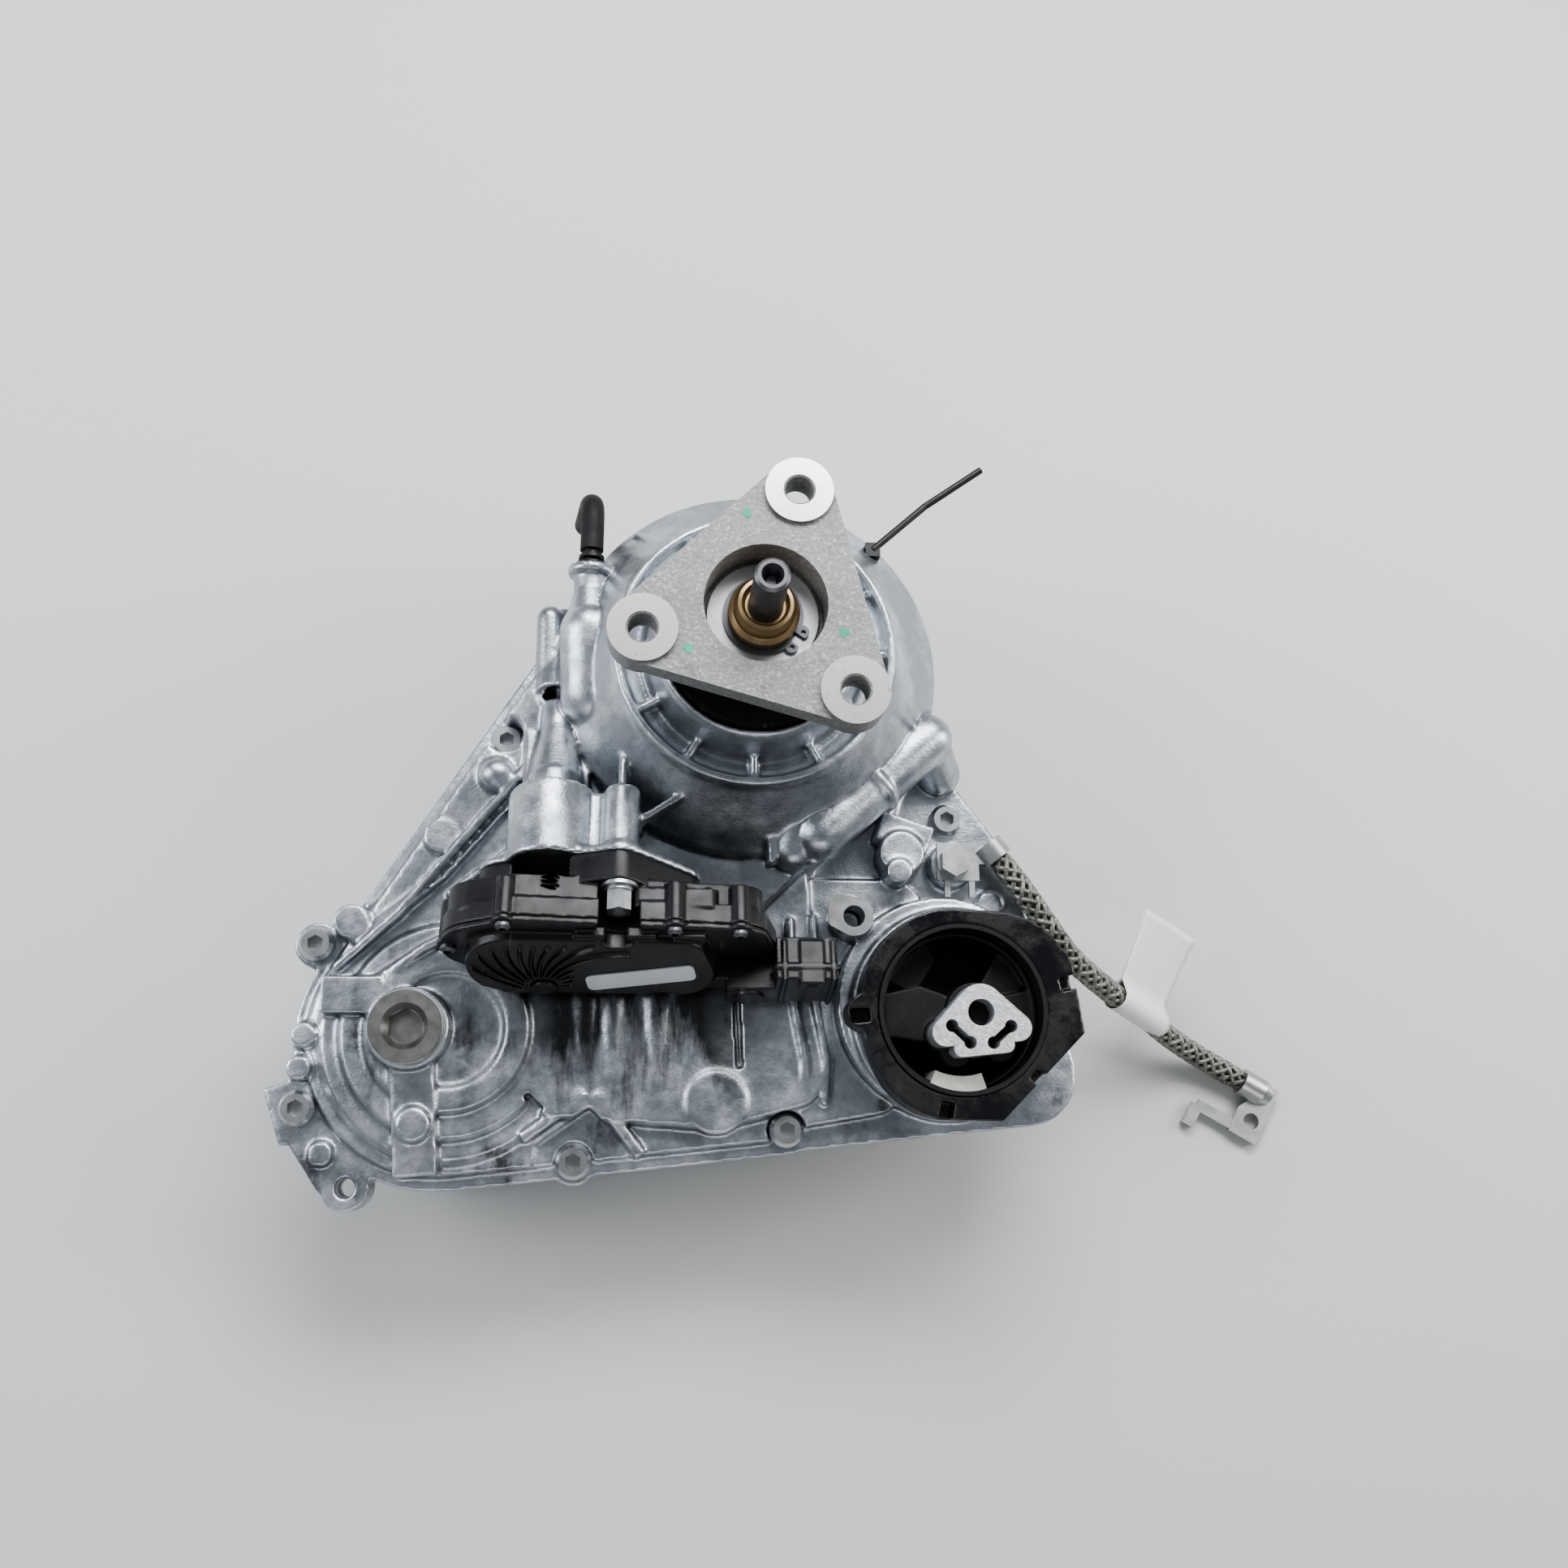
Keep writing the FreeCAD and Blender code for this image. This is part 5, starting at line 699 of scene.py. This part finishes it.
def bush():
    """Rubber of the mount: arms and a cushion at the core, stop blocks, lining, and a thin black
    skin across the bore as painted shade.
    """
    bm = bmesh.new()
    left_arm = (from_core((-4.0, 6.0), (-24.0, 13.0)) + from_bush((-35.0, 7.0), (-33.0, -12.0))
                + from_core((-14.0, -13.0)))
    right_arm = (from_core((5.0, -9.0)) + from_bush((34.0, -8.0), (34.0, 10.0))
                 + from_core((4.0, 7.0)))
    right_stop = from_bush((11.0, 12.0), (24.0, 4.0), (32.0, 13.0), (20.0, 27.0))
    left_stop = from_bush((-30.0, 14.0), (-18.0, 8.0), (-8.0, 24.0), (-12.0, 33.0), (-22.0, 28.0))
    # thin black skin across the bore, a sheet of painted shade in the mount's hollows
    extrude(bm, around(BUSH_X, BUSH_Y, BUSH_R, 64), BUSH_FLOOR, BUSH_SHADE_SHEET_TOP)
    extrude(bm, left_arm, BUSH_FLOOR, 113.0)
    extrude(bm, right_arm, BUSH_FLOOR, 111.0)
    extrude(bm, right_stop, BUSH_FLOOR, 107.0)
    extrude(bm, left_stop, BUSH_FLOOR, 101.0)
    extrude(bm, around(CORE_X, CORE_Y + 1.0, 13.5), BUSH_FLOOR, 117.0)
    for lobe in from_core((-16.0, -9.0), (16.5, -6.5), (-9.0, -16.0), (11.0, -14.0)):
        extrude(bm, around(*lobe, 7.0, 24), BUSH_FLOOR, 116.0)
    outside = around(BUSH_X, BUSH_Y, BUSH_R, 96)
    inside = around(BUSH_X, BUSH_Y, BUSH_R - LINING, 96)
    for k, corner in enumerate(outside):
        j = (k + 1) % len(outside)
        extrude(bm, [corner, outside[j], inside[j], inside[k]], BUSH_FLOOR, 112.0)
    piece = new_piece("bush", softened(finished(bm), 0.0006, 6), "black_rubber")
    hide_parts("mount_rubber")


def collar():
    """Oily plastic collar round the mount."""
    piece = moulded("collar", "mount_collar", "oily_moulding", 0.0007, 5)
    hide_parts("mount_collar")


bush()
collar()


# ---- inspection paint -----------------------------------------------------------------

PAINT_DOTS = ((-8.3, 39.7), (-31.9, -21.1), (32.4, -12.1))
DOT_R, DOT_UNEVEN, DOT_SIDES = 2.0, 0.35, 20
DOT_SUNK, DOT_THICK = 2.0, 0.2
# the flange's bosses stand this far above its plate
BOSS_RISE = 2.0


def paint_dots():
    """Three dabs of paint on the rear flange, which turn with it."""
    plate_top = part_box("rear_output_flange")[1].z / MM - BOSS_RISE
    bm = bmesh.new()
    for x, y in PAINT_DOTS:
        outline = []
        for k in range(DOT_SIDES):
            a = 2.0 * math.pi * k / DOT_SIDES
            r = DOT_R + DOT_UNEVEN * math.sin(3.0 * a + x)
            outline.append((x + r * math.cos(a), y + r * math.sin(a)))
        extrude(bm, outline, plate_top - DOT_SUNK, plate_top + DOT_THICK)
    new_piece("paint_dots", finished(bm), "green_paint", "main_shaft")


paint_dots()


# ---- earth strap ----------------------------------------------------------------------

STRAP_ROUTE = [
    (0.1205, -0.085, 0.093), (0.130, -0.097, 0.093), (0.143, -0.114, 0.088),
    (0.157, -0.129, 0.078), (0.172, -0.138, 0.067), (0.188, -0.1455, 0.053),
    (0.205, -0.152, 0.039), (0.224, -0.162, 0.022), (0.243, -0.171, 0.011),
    (0.258, -0.1785, 0.0078), (0.268, -0.184, 0.0074),
]
STRAP_STEP = 0.0012

# strands each way round, the length of one turn, and a strand's own radius
STRANDS, PITCH, STRAND_R = 5, 0.030, 0.00165
# the oval that the strands' middles follow, and the core inside it
HALF_WIDE, HALF_THICK, CORE_R = 0.0043, 0.0036, 0.0028
# how far strands ride over each other, and how the braid narrows at its ends
WAVE, END_TAPER, END_WIDE = 0.16, 0.006, 0.82

# the flag sits between two points of the route and reaches out this way, nearly level
FLAG_BETWEEN, FLAG_SHARE = STRAP_ROUTE[5:7], 0.85
FLAG_RISE = (0.38, 0.93, 0.03)
FLAG_WIDE, FLAG_TALL, FLAG_STEP, FLAG_COLUMNS = 0.041, 0.048, 0.0035, 12
FLAG_CURL, FLAG_CREASE, CREASES = 0.0045, 0.0004, 900.0
# rows of points down a leaf, then round the fold, with its first angle and its step
LEAF_ROWS, FOLD_ROWS, FOLD_FROM, FOLD_STEP = 12, 11, 40.0, 28.0
# the sheet's bend round the strap, half the gap between its leaves, its thickness
WRAP_R, LEAF_APART, PAPER = 0.0068, 0.0006, 0.00025


def route_curve(route):
    """Smooth spline with the route's points as its control points."""
    data = bpy.data.curves.new("route", "CURVE")
    data.dimensions = "3D"
    spline = data.splines.new("NURBS")
    spline.points.add(len(route) - 1)
    for point, place in zip(spline.points, route):
        point.co = (*place, 1.0)
    spline.order_u = 3
    spline.use_endpoint_u = True
    spline.resolution_u = 24
    return data


def route_points(route, step):
    """Evenly spaced points along the route's smooth spline, and its length."""
    curve = bpy.data.objects.new("route", route_curve(route))
    bpy.context.scene.collection.objects.link(curve)
    raw = [v.co.copy() for v in applied(curve).vertices]
    bpy.data.objects.remove(curve)
    lengths = [0.0]
    for a, b in zip(raw, raw[1:]):
        lengths.append(lengths[-1] + (b - a).length)
    count = round(lengths[-1] / step)
    points = []
    at = 0
    for i in range(count + 1):
        want = lengths[-1] * i / count
        while at < len(raw) - 2 and lengths[at + 1] < want:
            at += 1
        share = (want - lengths[at]) / max(lengths[at + 1] - lengths[at], 1e-9)
        points.append(raw[at].lerp(raw[at + 1], min(1.0, share)))
    return points, lengths[-1]


def course_along(points):
    """Place, side and up for each point; side stays level with the floor."""
    course = []
    for i, here in enumerate(points):
        ahead = (points[min(i + 1, len(points) - 1)] - points[max(i - 1, 0)]).normalized()
        side = ahead.cross(Vector((0, 0, 1))).normalized()
        course.append((here, side, side.cross(ahead)))
    return course


def tube(bm, course, radius, sides):
    """Closed tube along a course."""
    turns = [2 * math.pi * k / sides for k in range(sides)]
    skin(bm, [[bm.verts.new(here + side * radius * math.cos(a) + up * radius * math.sin(a))
               for a in turns] for here, side, up in course])


def flag_profile():
    """Section of the folded sheet: down one leaf, round the strap, up the other."""
    leaf = [(FLAG_TALL - FLAG_STEP * k, LEAF_APART) for k in range(LEAF_ROWS)]
    wrap = [math.radians(FOLD_FROM + FOLD_STEP * k) for k in range(FOLD_ROWS)]
    fold = [(WRAP_R * math.cos(a), WRAP_R * math.sin(a)) for a in wrap]
    back_leaf = [(up, -LEAF_APART) for up, out in leaf[:0:-1]]
    return leaf + fold + back_leaf


def flag():
    """Folded paper flag: one sheet that goes round the strap and closes on itself."""
    foot, head = (Vector(place) for place in FLAG_BETWEEN)
    along = (head - foot).normalized()
    centre = foot.lerp(head, FLAG_SHARE)
    rise = Vector(FLAG_RISE)
    rise = (rise - along * rise.dot(along)).normalized()
    face = along.cross(rise)
    bm = bmesh.new()
    rows = []
    for up, out in flag_profile():
        row = []
        height = max(0.0, up / FLAG_TALL)
        crease = FLAG_CREASE * math.sin(CREASES * up) * height
        for c in range(FLAG_COLUMNS + 1):
            share = c / FLAG_COLUMNS
            side = (share - 0.5) * FLAG_WIDE
            curl = FLAG_CURL * height ** 2 * share
            row.append(bm.verts.new(centre + along * side + rise * up
                                    + face * (out + curl + crease)))
        rows.append(row)
    for one, two in zip(rows, rows[1:]):
        for c in range(FLAG_COLUMNS):
            bm.faces.new((one[c], one[c + 1], two[c + 1], two[c]))
    sheet = bpy.data.objects.new("sheet", finished(bm))
    bpy.context.scene.collection.objects.link(sheet)
    stock = sheet.modifiers.new("stock", "SOLIDIFY")
    stock.thickness = PAPER
    mesh = applied(sheet)
    bpy.data.objects.remove(sheet)
    shade_smooth(mesh)
    piece = new_piece("flag", mesh, "white_paper")
    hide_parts("strap_label")
    return piece


def strand(course, length, direction, start):
    """Course of one strand that winds round the braid, riding over and under the others."""
    under = 0.0 if direction > 0 else math.pi
    places = []
    for i, (here, side, up) in enumerate(course):
        s = length * i / (len(course) - 1)
        turned = direction * 2 * math.pi * s / PITCH
        a = turned + start
        over = 1.0 + WAVE * math.cos(STRANDS * turned * 0.5 + under)
        inward = min(1.0, min(s, length - s) / END_TAPER)
        wide = HALF_WIDE * (END_WIDE + (1.0 - END_WIDE) * inward)
        centre = here + side * wide * math.cos(a) + up * HALF_THICK * over * math.sin(a)
        places.append((centre, side, up))
    return places


def strap(label):
    """Plaited braid of oval section: bundles of wire that cross over a soft core."""
    points, length = route_points(STRAP_ROUTE, STRAP_STEP)
    course = course_along(points)
    bm = bmesh.new()
    for direction in (1.0, -1.0):
        for k in range(STRANDS):
            tube(bm, strand(course, length, direction, 2 * math.pi * k / STRANDS), STRAND_R, 6)
    tube(bm, course, CORE_R, 10)
    mesh = bpy.data.meshes.new("strap")
    bm.to_mesh(mesh)
    bm.free()
    shade_smooth(mesh)
    piece = new_piece("strap", mesh, "copper_braid")
    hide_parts("strap_braid")


strap(flag())


# ---- stage ----------------------------------------------------------------------------

FLOOR_HALF = 6.0
LIGHTS_AIM = (0.0, -0.05, 0.1)
SKY_COLOR, SKY_STRENGTH = (0.80, 0.85, 0.92), 0.25


def stage():
    """Plain pale floor."""
    bm = bmesh.new()
    bmesh.ops.create_grid(bm, x_segments=1, y_segments=1, size=FLOOR_HALF)
    mesh = bpy.data.meshes.new("floor")
    bm.to_mesh(mesh)
    bm.free()
    mesh.materials.append(Look("floor_paint", (0.62, 0.62, 0.61), 0.0, 0.7).mat)
    floor = bpy.data.objects.new("floor", mesh)
    bpy.context.scene.collection.objects.link(floor)


def area_light(name, place, size, power, color=(1.0, 1.0, 1.0)):
    """Soft light that faces the case."""
    data = bpy.data.lights.new(name, "AREA")
    data.shape = "RECTANGLE"
    data.size, data.size_y = size
    data.energy = power
    data.color = color
    lamp = bpy.data.objects.new(name, data)
    bpy.context.scene.collection.objects.link(lamp)
    lamp.location = place
    lamp.rotation_mode = "QUATERNION"
    facing = Vector(LIGHTS_AIM) - Vector(place)
    lamp.rotation_quaternion = facing.to_track_quat("-Z", "Y")


def lights():
    """Long key light beyond the case, weaker ones at both sides and in front, pale sky."""
    area_light("key", (0.15, 0.85, 1.15), (1.3, 0.5), 24.0, (0.97, 0.98, 1.0))
    area_light("left", (-1.1, 0.1, 0.75), (0.5, 0.9), 9.0, (0.93, 0.96, 1.0))
    area_light("right", (1.1, 0.1, 0.65), (0.4, 0.9), 8.0, (1.0, 0.99, 0.97))
    area_light("front", (0.0, -1.2, 0.9), (1.4, 0.3), 3.5)
    world = bpy.data.worlds.new("world")
    world.use_nodes = True
    sky = world.node_tree.nodes["Background"]
    sky.inputs["Color"].default_value = (*SKY_COLOR, 1.0)
    sky.inputs["Strength"].default_value = SKY_STRENGTH
    bpy.context.scene.world = world
    bpy.context.scene.view_settings.view_transform = "AgX"
    bpy.context.scene.view_settings.look = "AgX - Medium High Contrast"


stage()
lights()
